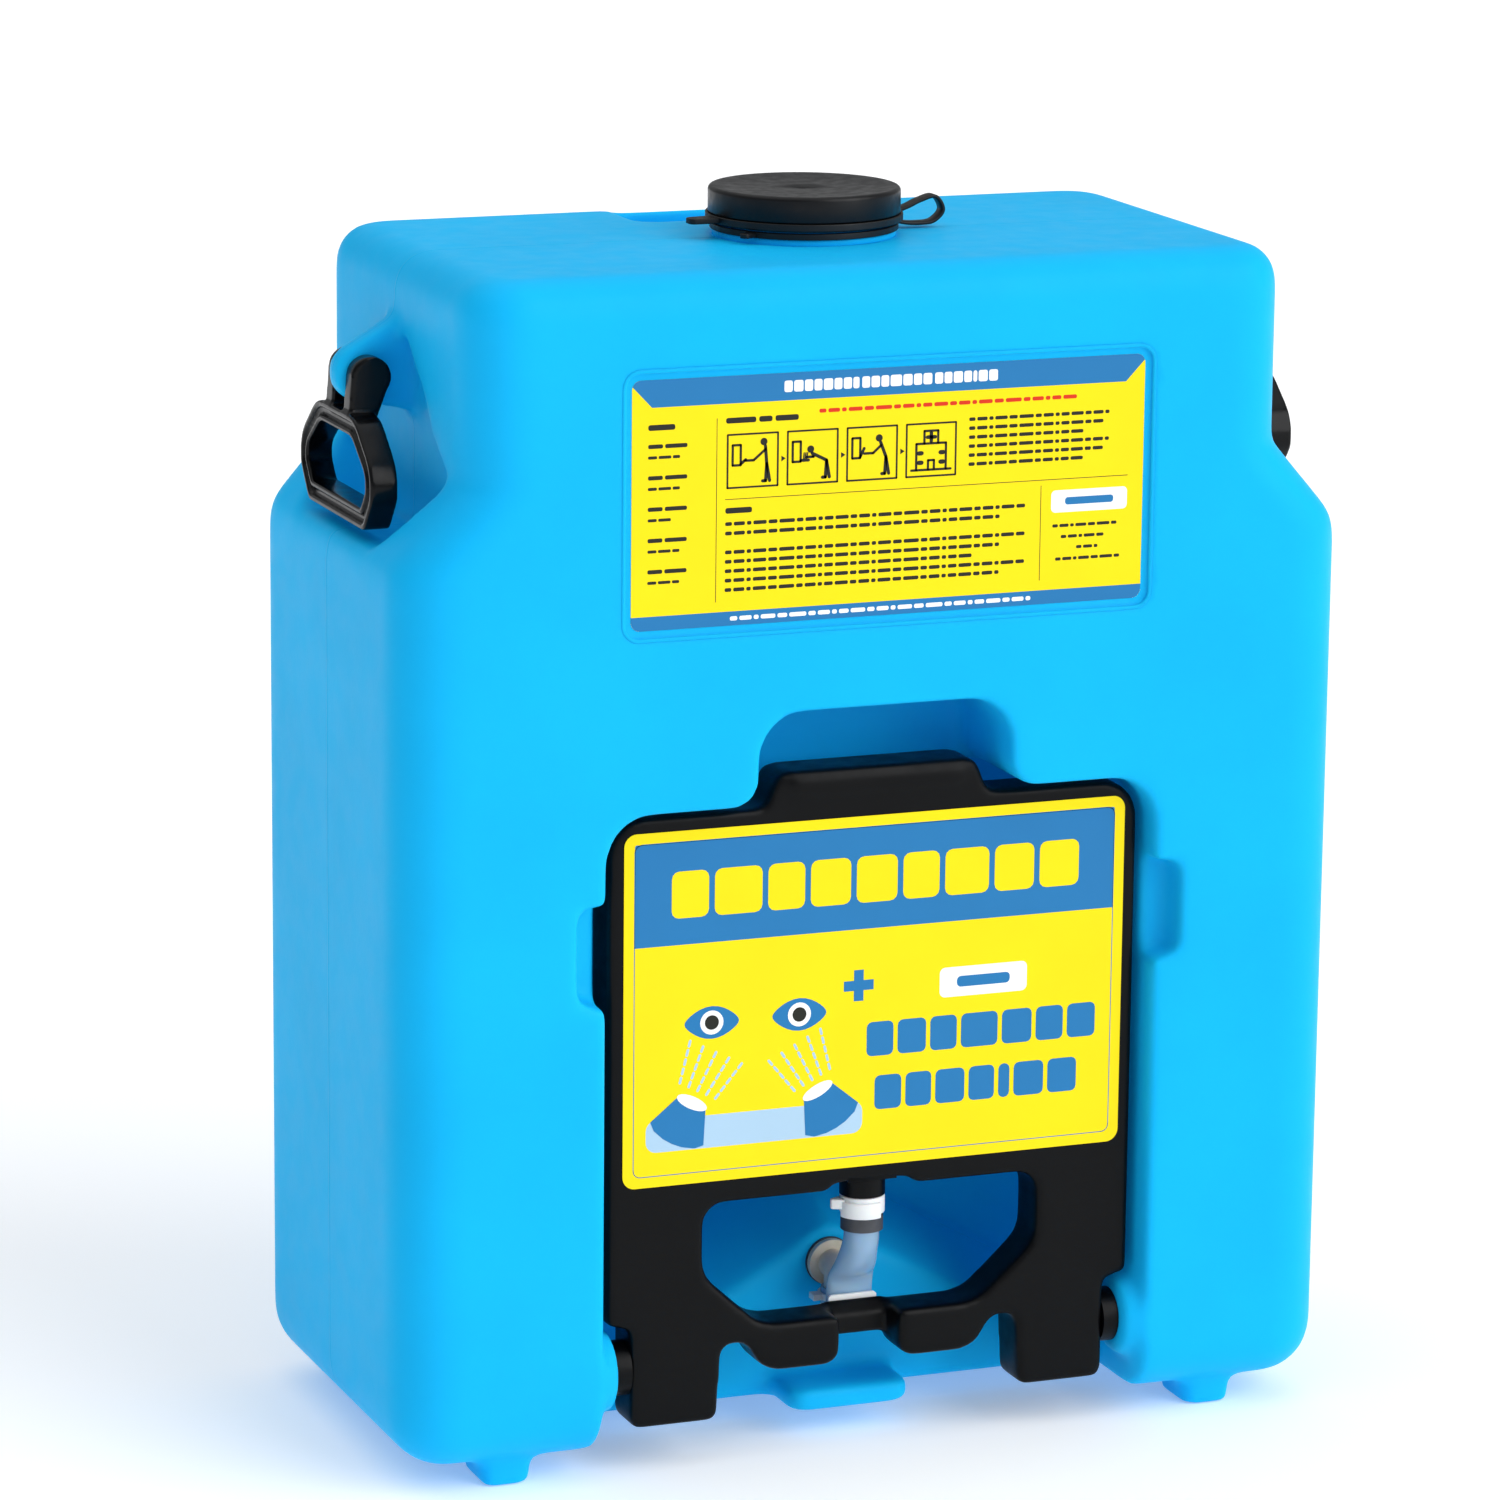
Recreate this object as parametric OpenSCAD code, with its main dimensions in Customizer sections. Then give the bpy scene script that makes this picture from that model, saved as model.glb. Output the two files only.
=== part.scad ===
// Portable gravity-fed eyewash station. A hollow moulded tank stands on four
// feet. A tray hangs in a recess in its front and swings down on two hinge
// pins; behind the tray a manifold feeds two spray heads. A hose joins the
// tank outlet to the tray and is pinched shut while the tray is up.
// X runs from left to right seen from the front, Y from front to back and Z
// up. The origin is on the floor, under the middle of the tank.

/* [Tank] */
// Width of the lower body
tank_w = 540; // [520:1:560]
// Depth from front to back
tank_d = 260; // [256:1:270]
// Height from the floor to the flat top
tank_h = 650; // [640:1:670]
// Width of the narrower upper body
upper_w = 463; // [458:1:468]
// Thickness of the moulded wall
wall = 5; // [4:0.5:6]
// Radius of the upright edges
edge_r = 32; // [26:1:36]
// Radius of the edges round the top
top_r = 20; // [14:1:24]
// Radius of the edges round the bottom
bottom_r = 30; // [20:1:32]
// Height of the feet under the body
foot_h = 13.5; // [10:0.5:15]
// Where the shoulder's slope starts
shoulder_low = 500; // [498:1:503]
// Where the shoulder's slope meets the upper body
shoulder_top = 543; // [540:1:546]

/* [Front recess] */
// Half width of the recess that holds the tray
recess_half = 157; // [156:0.5:160]
// Top of the recess
recess_top = 366; // [365:0.5:370]
// Depth of the recess behind the spray heads, from the front plane
recess_depth = 140; // [125:1:150]
// Half width of the grip recess above the tray
grip_half = 72; // [68:1:80]
// Top of the grip recess
grip_top = 416; // [405:1:425]
// Depth of the grip recess
grip_depth = 70; // [50:1:80]

/* [Tray] */
// Half width of the tray
tray_half = 152; // [148:0.5:152]
// Top of the tray, without its grip tab
tray_top = 362; // [355:0.5:362]
// Thickness of the tray
tray_t = 29; // [26:0.5:30]
// Height of the hinge axis
hinge_z = 57; // [56:0.5:58]
// Distance from the middle of the tank to the hinge axis
hinge_y = -104; // [-105:0.5:-103]
// Radius of the hinge pins
pin_r = 5; // [4:0.5:6]
// Half of the distance between the two spray heads
head_x = 52; // [45:1:60]
// Height of the spray heads while the tray is up
head_z = 235; // [220:1:255]

/* [Hose] */
// Outer radius of the hose
hose_r = 9.7; // [9.5:0.1:9.8]
// Thickness of the hose's wall
hose_wall = 3; // [2.4:0.1:3]

/* [Cap] */
// Outer radius of the filler cap
cap_r = 52; // [51:0.5:54]
// Top of the filler cap
cap_top = 676; // [675:0.5:678]
// Outer radius of the filler neck
neck_r = 45.5; // [44:0.5:46]
// Radius of the filler opening
fill_r = 41; // [38:0.5:41.5]

/* [Carrying handles] */
// Half width of the handle ring
ring_half = 62; // [58:1:64]
// Bottom of the handle ring
ring_low = 511; // [509:0.5:515]
// Distance from the middle plane to the handle's pivot
pivot_x = 251; // [249:0.5:252]
// Height of the handle's pivot
pivot_z = 587; // [586:0.5:588]
// Radius of the handle pins
handle_pin_r = 4; // [3:0.5:4.5]

/* [Hidden] */
$fn = 48;
front_y = -tank_d / 2;
back_y = tank_d / 2;
deep_y = front_y + recess_depth;
// Running clearance of a pin in its bore, and the gap between moving faces
run_gap = 0.06;
seat_gap = 0.12;
// Thickness of the thin slices that the tank's shape is stretched over
skin = 0.01;
face_gap = 0.3;
// Slope of the recess floor: its front edge, ridge height and two angles
gable_y = -57;
gable_z = 108;
gable_side = 29;
gable_back = 24;
// Tray faces, hinge bosses and legs
tray_front = hinge_y - 13;
tray_back = tray_front + tray_t;
boss_r = 23;
boss_x = 147;
leg_out = 138;
leg_in = 88;
leg_low = 25;
bush_r = 8;
saddle_half = 17;
saddle_y = -90.3;
// Outlet of the tank and inlet of the tray
outlet_z = 88;
seat_y = gable_y + 3;
inner_pad_y = -46;
elbow_y = -69.5;
hose_top = 77.5;
inlet_y = -102;
inlet_end = 140.5;
stem_r = 6;
pipe_r = 8;
// Spray heads, measured along Y from the tray's back
head_low = -84;
cup_y = -64;
cup_r = 22;
lid_r = 23.5;
lid_t = 5;
lid_axis_z = head_z + 27;
lid_axis_y = cup_y - 1.5;
lid_pin_r = 1.5;
// Cap and tether
skirt_low = 657;
neck_top = 670;
groove_top = 662;
// Handle
ring_in = pivot_x - 1;
ring_out = pivot_x + 14;
ring_top = pivot_z - 18.5;
fin_half = 9;
arm_in = 9.5;
arm_out = 21;
lobe_r = 16;
// Labels
label_t = 0.4;
panel_depth = 2.5;

// ---- Outlines ----
// An outline is a list of [x, y, radius] corners; soft() rounds each of them.
function unit2(v) = v / norm(v);
function corner(a, b, c, n) =
    b[2] == 0 ? [[b[0], b[1]]] :
    let (
        p = [b[0], b[1]],
        u = unit2([a[0], a[1]] - p),
        v = unit2([c[0], c[1]] - p),
        half = acos(u * v) / 2,
        centre = p + unit2(u + v) * b[2] / sin(half),
        from = p + u * b[2] / tan(half) - centre,
        to = p + v * b[2] / tan(half) - centre,
        start = atan2(from[1], from[0]),
        turn = atan2(to[1], to[0]) - start,
        sweep = turn > 180 ? turn - 360 : turn < -180 ? turn + 360 : turn
    )
    [for (i = [0:n]) centre + b[2] * [cos(start + sweep * i / n), sin(start + sweep * i / n)]];
function soft(pts, n = 6) =
    let (k = len(pts))
    [for (i = [0:k - 1]) each corner(pts[(i + k - 1) % k], pts[i], pts[(i + 1) % k], n)];
// The right half of a symmetric outline, then its mirror image
function both_sides(pts) =
    concat(pts, [for (i = [len(pts) - 1:-1:0]) [-pts[i][0], pts[i][1], pts[i][2]]]);
function soft_box(x0, y0, x1, y1, r) =
    soft([[x0, y0, r], [x1, y0, r], [x1, y1, r], [x0, y1, r]]);

// ---- Extrusions and rods along the three axes ----
module along_y(y0, y1) translate([0, y1, 0]) rotate([90, 0, 0]) linear_extrude(y1 - y0) children();
module along_x(x0, x1) translate([x0, 0, 0]) rotate([90, 0, 90]) linear_extrude(x1 - x0) children();
module rod_x(r, x0, x1, y, z) translate([x0, y, z]) rotate([0, 90, 0]) cylinder(r = r, h = x1 - x0);
module rod_y(r, y0, y1, x, z) translate([x, y1, z]) rotate([90, 0, 0]) cylinder(r = r, h = y1 - y0);
module rod_z(r, z0, z1, x, y) translate([x, y, z0]) cylinder(r = r, h = z1 - z0);
module tube_z(r_in, r_out, z0, z1, x, y) difference() {
    rod_z(r_out, z0, z1, x, y);
    rod_z(r_in, z0 - 1, z1 + 1, x, y);
}
module block(x0, x1, y0, y1, z0, z1) translate([x0, y0, z0]) cube([x1 - x0, y1 - y0, z1 - z0]);
module both_x() for (s = [0, 1]) mirror([s, 0, 0]) children();

// ---- Tank ----
// Levels of the tank: [half width, height, how far front and back are set in].
// t sets every wall in, so that the same rule gives the hollow inside.
step = 15;
function lower_levels(t) = concat(
    [for (a = [90:-step:0]) let (r = bottom_r - t)
        [tank_w / 2 - t - r * (1 - cos(a)), foot_h + t + r * (1 - sin(a)), t + r * (1 - cos(a))]],
    [for (a = [0:step:45]) let (r = 24)
        [tank_w / 2 - t - r * (1 - cos(a)), shoulder_low - 0.4 * t - r * (tan(22.5) - sin(a)), t]],
    [[upper_w / 2 - t, shoulder_top - 0.4 * t, t]]
);
function upper_levels(t) = concat(
    [[upper_w / 2 - t, shoulder_low - 30, t]],
    [for (a = [0:step:90]) let (r = top_r - t)
        [upper_w / 2 - t - r * (1 - cos(a)), tank_h - t - r * (1 - sin(a)), t + r * (1 - cos(a))]]
);
module stack(levels) hull() for (l = levels) translate([0, 0, l[1]])
    linear_extrude(skin) polygon(soft_box(-l[0], front_y + l[2], l[0], back_y - l[2], max(edge_r - l[2], 3)));
module tank_body(t) {
    stack(lower_levels(t));
    stack(upper_levels(t));
}

// The sloping floor of the recess; t lowers it and sets its front back
module gable(t) intersection() {
    translate([0, gable_y, gable_z - 1.3 * t]) rotate([gable_back, 0, 0]) along_y(-150, 200)
        polygon([[-300, -300 * tan(gable_side) * cos(gable_back)], [-300, -600], [300, -600],
            [300, -300 * tan(gable_side) * cos(gable_back)], [0, 0]]);
    block(-300, 300, gable_y + t, deep_y + 30, -20, 300);
}
// Everything cut into the tank from outside; g grows it for the inner wall
module recesses(g) {
    difference() {
        union() {
            along_y(front_y - 10, deep_y + g) polygon(soft(both_sides(
                [[recess_half + g, -30, 0], [recess_half + g, recess_top + g, 25 + g]])));
            along_y(front_y - 10, front_y + grip_depth + g) polygon(soft(both_sides(
                [[recess_half + g, 200, 0], [recess_half + g, recess_top + g, 25 + g],
                [grip_half + g, recess_top + g, 15 - g], [grip_half + g, grip_top + g, 25 + g]])));
        }
        gable(g);
    }
    both_x() along_y(front_y - 10, front_y + 20 + g) polygon(soft(
        [[recess_half - 5, 262 - g, 0], [173 + g, 267 - g, 6], [173 + g, 318 + g, 6], [recess_half - 5, 318 + g, 0]]));
    along_y(front_y - 10, front_y + panel_depth + g) polygon(soft_box(-150, 461.5, 150, 600, 8));
    translate([0, 0, 612 - g]) linear_extrude(60) polygon(soft_box(-70 - g, 65 - g, 70 + g, 117 + g, 14 + g));
    both_x() along_x(221 - g, tank_w / 2 + 10) polygon(soft(both_sides(
        [[62 + g, 504 - g, 14], [89 + g, 541 + g, 10], [58 + g, 562 + g, 8], [47 + g, 579 + g, 8],
        [2 + g, 617 + g, 0]])));
}
module handle_fin() {
    along_y(-fin_half, fin_half) polygon([[212, 628], [231, 617], [pivot_x + lobe_r * cos(54), pivot_z + lobe_r * sin(54)],
        [pivot_x, pivot_z], [pivot_x + lobe_r * cos(-60), pivot_z + lobe_r * sin(-60)], [212, 563]]);
    rod_y(lobe_r, -fin_half, fin_half, pivot_x, pivot_z);
}
module foot() linear_extrude(foot_h + 16)
    polygon(soft_box(192, front_y + 18, 220, front_y + 56, 5));
module tank_solids() {
    both_x() {
        for (s = [0, 1]) mirror([0, s, 0]) foot();
        handle_fin();
        // Hinge boss, the blind socket of its pin, the tray's rest rib and its lower stop
        rod_x(boss_r, boss_x, recess_half + 1, hinge_y, hinge_z);
        rod_x(13, recess_half, 172, hinge_y, hinge_z);
        block(146, recess_half + 1, tray_back + face_gap, tray_back + 9, 190, 330);
        block(125, recess_half + 1, -78, -62, hinge_z + tray_back - hinge_y + face_gap, 84);
    }
    // Sill under the tray and pad behind the outlet
    translate([0, 0, 14]) linear_extrude(13) polygon(soft_box(-36, -92, 36, gable_y + 15, 10));
    rod_y(20, seat_y, inner_pad_y, 0, outlet_z);
}
module tank_shell() color("deepskyblue") difference() {
    union() {
        difference() {
            tank_body(0);
            recesses(0);
            difference() {
                tank_body(wall);
                recesses(wall);
            }
        }
        tank_solids();
    }
    // Hinge pin sockets, handle pin bores, seat of the filler neck, outlet seat and bore
    both_x() {
        rod_x(pin_r, boss_x - 1, 168, hinge_y, hinge_z);
        rod_y(handle_pin_r, -fin_half - 1, fin_half + 1, pivot_x, pivot_z);
    }
    rod_z(neck_r + seat_gap, tank_h - 20, tank_h + 1, 0, 0);
    rod_y(18, gable_y - 5, seat_y, 0, outlet_z);
    rod_y(pipe_r, seat_y - 1, inner_pad_y + 1, 0, outlet_z);
}
// Threaded neck, welded into the hole in the tank's top, with a flange that rests on it
module filler_neck() color("deepskyblue") difference() {
    union() {
        rod_z(neck_r, tank_h - wall, neck_top, 0, 0);
        rod_z(neck_r + 4, tank_h + skin, 652.8, 0, 0);
    }
    rod_z(fill_r, tank_h - wall - 1, neck_top + 1, 0, 0);
}
module instruction_label() color("gold")
    along_y(front_y + panel_depth - label_t, front_y + panel_depth) polygon(soft_box(-145, 465, 145, 597, 5));
module hinge_pins() color("silver") both_x() rod_x(pin_r, 104, 167, hinge_y, hinge_z);
module handle_pins() color("silver") both_x()
    rod_y(handle_pin_r, 0.5 - arm_out + 2, arm_out - 2.5, pivot_x, pivot_z);

// ---- Tank outlet ----
module outlet_fitting() color("ivory") difference() {
    union() {
        rod_y(13, seat_y - 5.7, seat_y - 2, 0, outlet_z);
        rod_y(pipe_r, elbow_y, -34, 0, outlet_z);
        translate([0, elbow_y, outlet_z]) sphere(r = pipe_r);
        rod_z(pipe_r, hose_top, outlet_z, 0, elbow_y);
        rod_z(stem_r, 71.5, hose_top + 1, 0, elbow_y);
    }
    rod_y(4, elbow_y, -33, 0, outlet_z);
    rod_z(4, 71, outlet_z, 0, elbow_y);
}
module outlet_seal() color("dimgray") difference() {
    rod_y(13.5, seat_y - 2, seat_y, 0, outlet_z);
    rod_y(pipe_r, seat_y - 3, seat_y + 1, 0, outlet_z);
}
module outlet_nut() color("ivory") difference() {
    translate([0, inner_pad_y + 7, outlet_z]) rotate([90, 0, 0]) cylinder(r = 13, h = 7, $fn = 6);
    rod_y(pipe_r, inner_pad_y - 1, inner_pad_y + 8, 0, outlet_z);
}
// Ring clamp with a square ear where its two ends snap together
module ring_clamp(y, z0, z1, r_in, t) {
    tube_z(r_in, r_in + t, z0, z1, 0, y);
    difference() {
        block(-r_in - t - 4.5, 0, y - 3.5, y + 3.5, z0, z1);
        rod_z(r_in + 0.5 * t, z0 - 1, z1 + 1, 0, y);
    }
}
module outlet_hose_clamp() color("white") ring_clamp(elbow_y, 71.6, 74.8, hose_r + 0.15, 1.5);

// ---- Filler cap and its tether ----
module neck_ring() color([0.09, 0.09, 0.1]) difference() {
    union() {
        rod_z(51, 653, 656.4, 0, 0);
        rotate(215) translate([0, 0, 653]) linear_extrude(3.4) polygon(soft_box(45, -4, 58, 4, 3));
    }
    rod_z(neck_r + 0.3, 652, 658, 0, 0);
}
module cap_ring() color([0.09, 0.09, 0.1]) difference() {
    union() {
        rod_z(53.4, 657.9, 661.7, 0, 0);
        rotate(184) translate([0, 0, 657.9]) linear_extrude(3.8) polygon(soft_box(45, -5, 69, 5, 4));
    }
    rod_z(cap_r - 1.7, 657, 663, 0, 0);
}
// The strap leaves the neck ring, loops out to the right and comes back to the cap ring
module tether_strap() color([0.09, 0.09, 0.1]) along_y(-4, 4) polygon(soft([
    [51, 653.2, 0], [66, 651, 6], [81, 652, 7], [80, 669, 8], [66, 667, 8], [53.7, 661.4, 0],
    [53.7, 659.6, 0], [66, 664.5, 6], [78, 667, 6], [78.5, 654, 5], [66, 653, 5], [51, 655.4, 0]]));
module filler_cap() color([0.1, 0.1, 0.11]) translate([0, 0, skirt_low]) rotate_extrude() difference() {
    polygon(concat(
        [[0, cap_top - skirt_low - 1.6], [cap_r - 8, cap_top - skirt_low - 1.6], [cap_r - 7, cap_top - skirt_low]],
        [for (a = [90:-15:0]) [cap_r - 2.5 + 2.5 * cos(a), cap_top - skirt_low - 2.5 + 2.5 * sin(a)]],
        [[cap_r, groove_top - skirt_low], [cap_r - 2, groove_top - skirt_low], [cap_r - 2, 0.7],
        [cap_r - 1.2, 0.5], [cap_r - 1.6, 0], [0, 0]]));
    translate([-1, -1]) square([cap_r - 2.4, cap_top - skirt_low - 3.4]);
}
module cap_gasket() color("dimgray") tube_z(fill_r + 0.5, neck_r - 0.3, neck_top, cap_top - 4.4, 0, 0);

// ---- Tray ----
tray_outline = soft(both_sides([[saddle_half, 59, 0], [saddle_half, 49, 9], [62, 49, 17], [71, 67, 10], [86, 67, 6],
    [leg_in, leg_low, 5], [leg_out, leg_low, 5], [leg_out, hinge_z + 24, 3], [tray_half, hinge_z + 27, 4],
    [tray_half, tray_top, 20], [64, tray_top, 8], [57, tray_top + 19, 9]]));
window_outline = soft(both_sides([[63, 76, 24], [97, 107, 20], [97, 147, 12], [25, 147, 2], [22, 151, 2]]));
module tray_panel() color([0.1, 0.1, 0.11]) {
    difference() {
        along_y(tray_front, tray_back) polygon(tray_outline);
        along_y(tray_front - 1, tray_back + 1) polygon(window_outline);
        block(-saddle_half, saddle_half, tray_front - 1, tray_back + 1, 40, 80);
        // Pocket for the manifold, channel for its inlet, and the bush bores
        along_y(tray_front + 6, tray_back + 1) polygon(soft_box(-126, 168, 126, 338, 14));
        block(-13, 13, inlet_y - 13, tray_back + 1, 140, 180);
        both_x() rod_x(bush_r, 103, leg_out + 1, hinge_y, hinge_z);
        both_x() for (s = [-1, 1]) rod_y(1.6, tray_front + 2, tray_front + 7, 24, head_z + s * 14);
    }
    // Saddle that carries the pinch plate
    difference() {
        along_x(-saddle_half, saddle_half)
            polygon([[-100, 59], [saddle_y, 59], [saddle_y, 79], [-100, 70.5]]);
        for (s = [-1, 1]) rod_y(1.2, saddle_y - 5, saddle_y + 1, s * 9, 70);
    }
    // Grip bead on the tab
    along_y(tray_front - 2, tray_front) polygon(soft_box(-50, tray_top + 6, 50, tray_top + 15, 4));
}
module tray_label() color("gold")
    along_y(tray_front - label_t, tray_front) polygon(soft_box(-144, 160, 144, 354, 6));
module hinge_bushes() color([0.13, 0.13, 0.14]) both_x() difference() {
    union() {
        rod_x(bush_r, 104, leg_out + 1, hinge_y, hinge_z);
        rod_x(15, leg_out, boss_x - face_gap, hinge_y, hinge_z);
    }
    rod_x(pin_r + run_gap, 103, boss_x + 1, hinge_y, hinge_z);
}
module pinch_plate() color("white") difference() {
    along_y(saddle_y, saddle_y + 1.5) polygon(soft_box(-14, 64, 14, 79.5, 2));
    for (s = [-1, 1]) rod_y(1.2, saddle_y - 1, saddle_y + 2, s * 9, 70);
}
module pinch_screws() color("silver") for (s = [-1, 1]) {
    rod_y(1.2, saddle_y - 4, saddle_y + 1.5, s * 9, 70);
    rod_y(2.2, saddle_y + 1.5, saddle_y + 2, s * 9, 70);
}

// ---- Tray inlet and manifold ----
module inlet_barb() color([0.1, 0.1, 0.11]) difference() {
    union() {
        rod_z(12.5, inlet_end, 153, 0, inlet_y);
        rod_z(stem_r, 120, inlet_end + 1, 0, inlet_y);
    }
    rod_z(4, 119, 154, 0, inlet_y);
}
module tray_hose_clamp() color("white") ring_clamp(inlet_y, 128.5, 140, hose_r + face_gap, 4);
module hose_collar() color("dimgray") tube_z(hose_r + face_gap, 11.6, 120.5, 128, 0, inlet_y);
module manifold() color([0.16, 0.16, 0.17]) difference() {
    union() {
        rod_z(pipe_r, 153, head_z, 0, inlet_y);
        rod_x(pipe_r, -head_x, head_x, inlet_y, head_z);
        for (s = [-1, 1]) {
            translate([s * head_x, inlet_y, head_z]) sphere(r = pipe_r);
            rod_y(pipe_r, inlet_y, head_low, s * head_x, head_z);
        }
    }
    rod_z(5, 152, head_z, 0, inlet_y);
    rod_x(5, -head_x, head_x, inlet_y, head_z);
    for (s = [-1, 1]) rod_y(5, inlet_y, head_low + 1, s * head_x, head_z);
}
// Two saddle clips hold the manifold's cross pipe against the tray
module pipe_clips() color("silver") both_x() difference() {
    union() {
        rod_x(pipe_r + 2, 18, 30, inlet_y, head_z);
        block(18, 30, tray_front + 6, tray_front + 8, head_z - 19, head_z + 19);
        block(18, 30, tray_front + 6, inlet_y, head_z - pipe_r - 2, head_z + pipe_r + 2);
    }
    rod_x(pipe_r, 17, 31, inlet_y, head_z);
    block(17, 31, tray_front, tray_front + 6, head_z - 30, head_z + 30);
    block(17, 31, tray_front + 5, inlet_y, head_z - pipe_r, head_z + pipe_r);
    for (s = [-1, 1]) rod_y(1.6, tray_front + 4, tray_front + 9, 24, head_z + s * 14);
}
module clip_screws() color("silver") both_x() for (s = [-1, 1]) {
    rod_y(1.6, tray_front + 3, tray_front + 8, 24, head_z + s * 14);
    rod_y(3, tray_front + 8, tray_front + 10, 24, head_z + s * 14);
}

// ---- Spray heads ----
module spray_head(x) color([0.12, 0.12, 0.13]) difference() {
    union() {
        translate([x, head_low - 8, head_z]) rotate([-90, 0, 0]) rotate_extrude() polygon(
            [[0, 0], [12, 0], [12, 8], [10, 10], [10, 13], [cup_r, 22], [cup_r, 28], [0, 28]]);
        block(x - 9, x + 9, cup_y - 6, cup_y - 0.3, head_z + cup_r - 2, lid_axis_z);
        rod_x(2.8, x - 9, x + 9, lid_axis_y, lid_axis_z);
    }
    rod_y(pipe_r, head_low - 9, head_low, x, head_z);
    rod_y(5, head_low - 1, cup_y - 5, x, head_z);
    rod_y(cup_r - 2.5, cup_y - 6, cup_y + 1, x, head_z);
    block(x - 4.2, x + 4.2, cup_y - 7, cup_y + 3, head_z + cup_r + 0.4, lid_axis_z + 4);
    rod_x(lid_pin_r, x - 10, x + 10, lid_axis_y, lid_axis_z);
}
module diffuser(x) color("whitesmoke") difference() {
    rod_y(cup_r - 2.5, cup_y - 5, cup_y - 2, x, head_z);
    for (k = [0:11]) rod_y(0.9, cup_y - 6, cup_y - 1, x + 14 * cos(30 * k), head_z + 14 * sin(30 * k));
    for (k = [0:5]) rod_y(0.9, cup_y - 6, cup_y - 1, x + 7 * cos(60 * k), head_z + 7 * sin(60 * k));
}
module dust_cap(x) color("gold") difference() {
    union() {
        rod_y(lid_r, cup_y + face_gap, cup_y + face_gap + lid_t, x, head_z);
        block(x - 3.9, x + 3.9, cup_y + face_gap, cup_y + face_gap + 3, head_z + 15, lid_axis_z + 1);
        rod_x(2.8, x - 3.9, x + 3.9, lid_axis_y, lid_axis_z);
        block(x - 3.9, x + 3.9, lid_axis_y, cup_y + 2, lid_axis_z - 1, lid_axis_z + 2.8);
    }
    rod_y(lid_r - 2, cup_y, cup_y + lid_t - 2, x, head_z);
    rod_x(lid_pin_r + run_gap, x - 5, x + 5, lid_axis_y, lid_axis_z);
}
module dust_cap_pins() color("silver") for (s = [-1, 1])
    rod_x(lid_pin_r, s * head_x - 9, s * head_x + 9, lid_axis_y, lid_axis_z);

// ---- Hose ----
// [y, z, half thickness, half width] of the hose from the tray inlet, squeezed
// flat behind the pinch plate, folded back and up to the tank outlet
hose_route = [
    [-102, 140, 9.7, 9.7], [-102, 119, 9.7, 9.7], [-99.5, 109, 9.3, 10], [-94, 98.5, 7, 11.8],
    [-87.2, 90, 4, 13.2], [-84.9, 81.5, 3.4, 13.5], [-84.8, 72, 3.4, 13.5], [-84.1, 67, 3.6, 13.3],
    [-81.4, 63, 4, 13], [-77.2, 61.5, 4.3, 12.6], [-73.1, 63.8, 5.2, 12], [-70.4, 67.6, 7.8, 10.8],
    [-69.5, 71.4, 9.7, 9.7], [-69.5, 77.4, 9.7, 9.7]
];
hose_sides = 12;
module hose_sweep(thin) {
    last = len(hose_route) - 1;
    rings = [for (i = [0:last]) let (
        p = hose_route[i],
        d = hose_route[min(i + 1, last)] - hose_route[max(i - 1, 0)],
        t = unit2([d[0], d[1]]),
        shift = i == 0 ? -thin / 3 : i == last ? thin / 3 : 0)
        [for (k = [0:hose_sides - 1]) let (
            a = 360 * k / hose_sides,
            across = (p[2] - thin) * cos(a))
            [(p[3] - thin) * sin(a), p[0] + t[0] * shift - t[1] * across, p[1] + t[1] * shift + t[0] * across]]];
    polyhedron(
        points = [for (r = rings) each r],
        faces = concat(
            [[for (k = [0:hose_sides - 1]) k]],
            [for (i = [0:last - 1], k = [0:hose_sides - 1]) let (n = (k + 1) % hose_sides)
                [i * hose_sides + n, i * hose_sides + k, (i + 1) * hose_sides + k, (i + 1) * hose_sides + n]],
            [[for (k = [hose_sides - 1:-1:0]) last * hose_sides + k]]));
}
module hose() color([0.85, 0.88, 0.9, 0.6]) difference() {
    hose_sweep(0);
    hose_sweep(hose_wall);
}

// ---- Carrying handles ----
// The ring's outline, set in by i: a flat bottom, cut corners and an arched top
function ring_outline(i) = soft(both_sides([[ring_half - 14 - 0.5 * i, ring_low + i, 7 - i / 4],
    [ring_half - i, ring_low + 18 + i / 3, 12 - i / 2], [ring_half - i, 545 - 0.4 * i, 22 - i],
    [33 - 0.5 * i, ring_top - i, 28 - i]]));
module handle() color([0.08, 0.08, 0.09]) difference() {
    union() {
        along_x(ring_in, ring_out) polygon(ring_outline(0));
        for (s = [0, 1]) mirror([0, s, 0]) {
            rod_y(11, arm_in, arm_out, pivot_x, pivot_z);
            along_y(arm_in, arm_out) polygon([[pivot_x - 9, pivot_z - 6],
                [ring_in, 560], [ring_out - 1, 560], [pivot_x + 11, pivot_z]]);
        }
    }
    along_x(ring_in - 1, ring_out + 1) polygon(ring_outline(11));
    // Groove round the outer face, and the blind sockets of the pin
    along_x(ring_out - 3, ring_out + 1) difference() {
        polygon(ring_outline(3.5));
        polygon(ring_outline(8));
    }
    for (s = [0, 1]) mirror([0, s, 0]) rod_y(handle_pin_r + run_gap, arm_in - 1, arm_out - 2, pivot_x, pivot_z);
}

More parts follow.
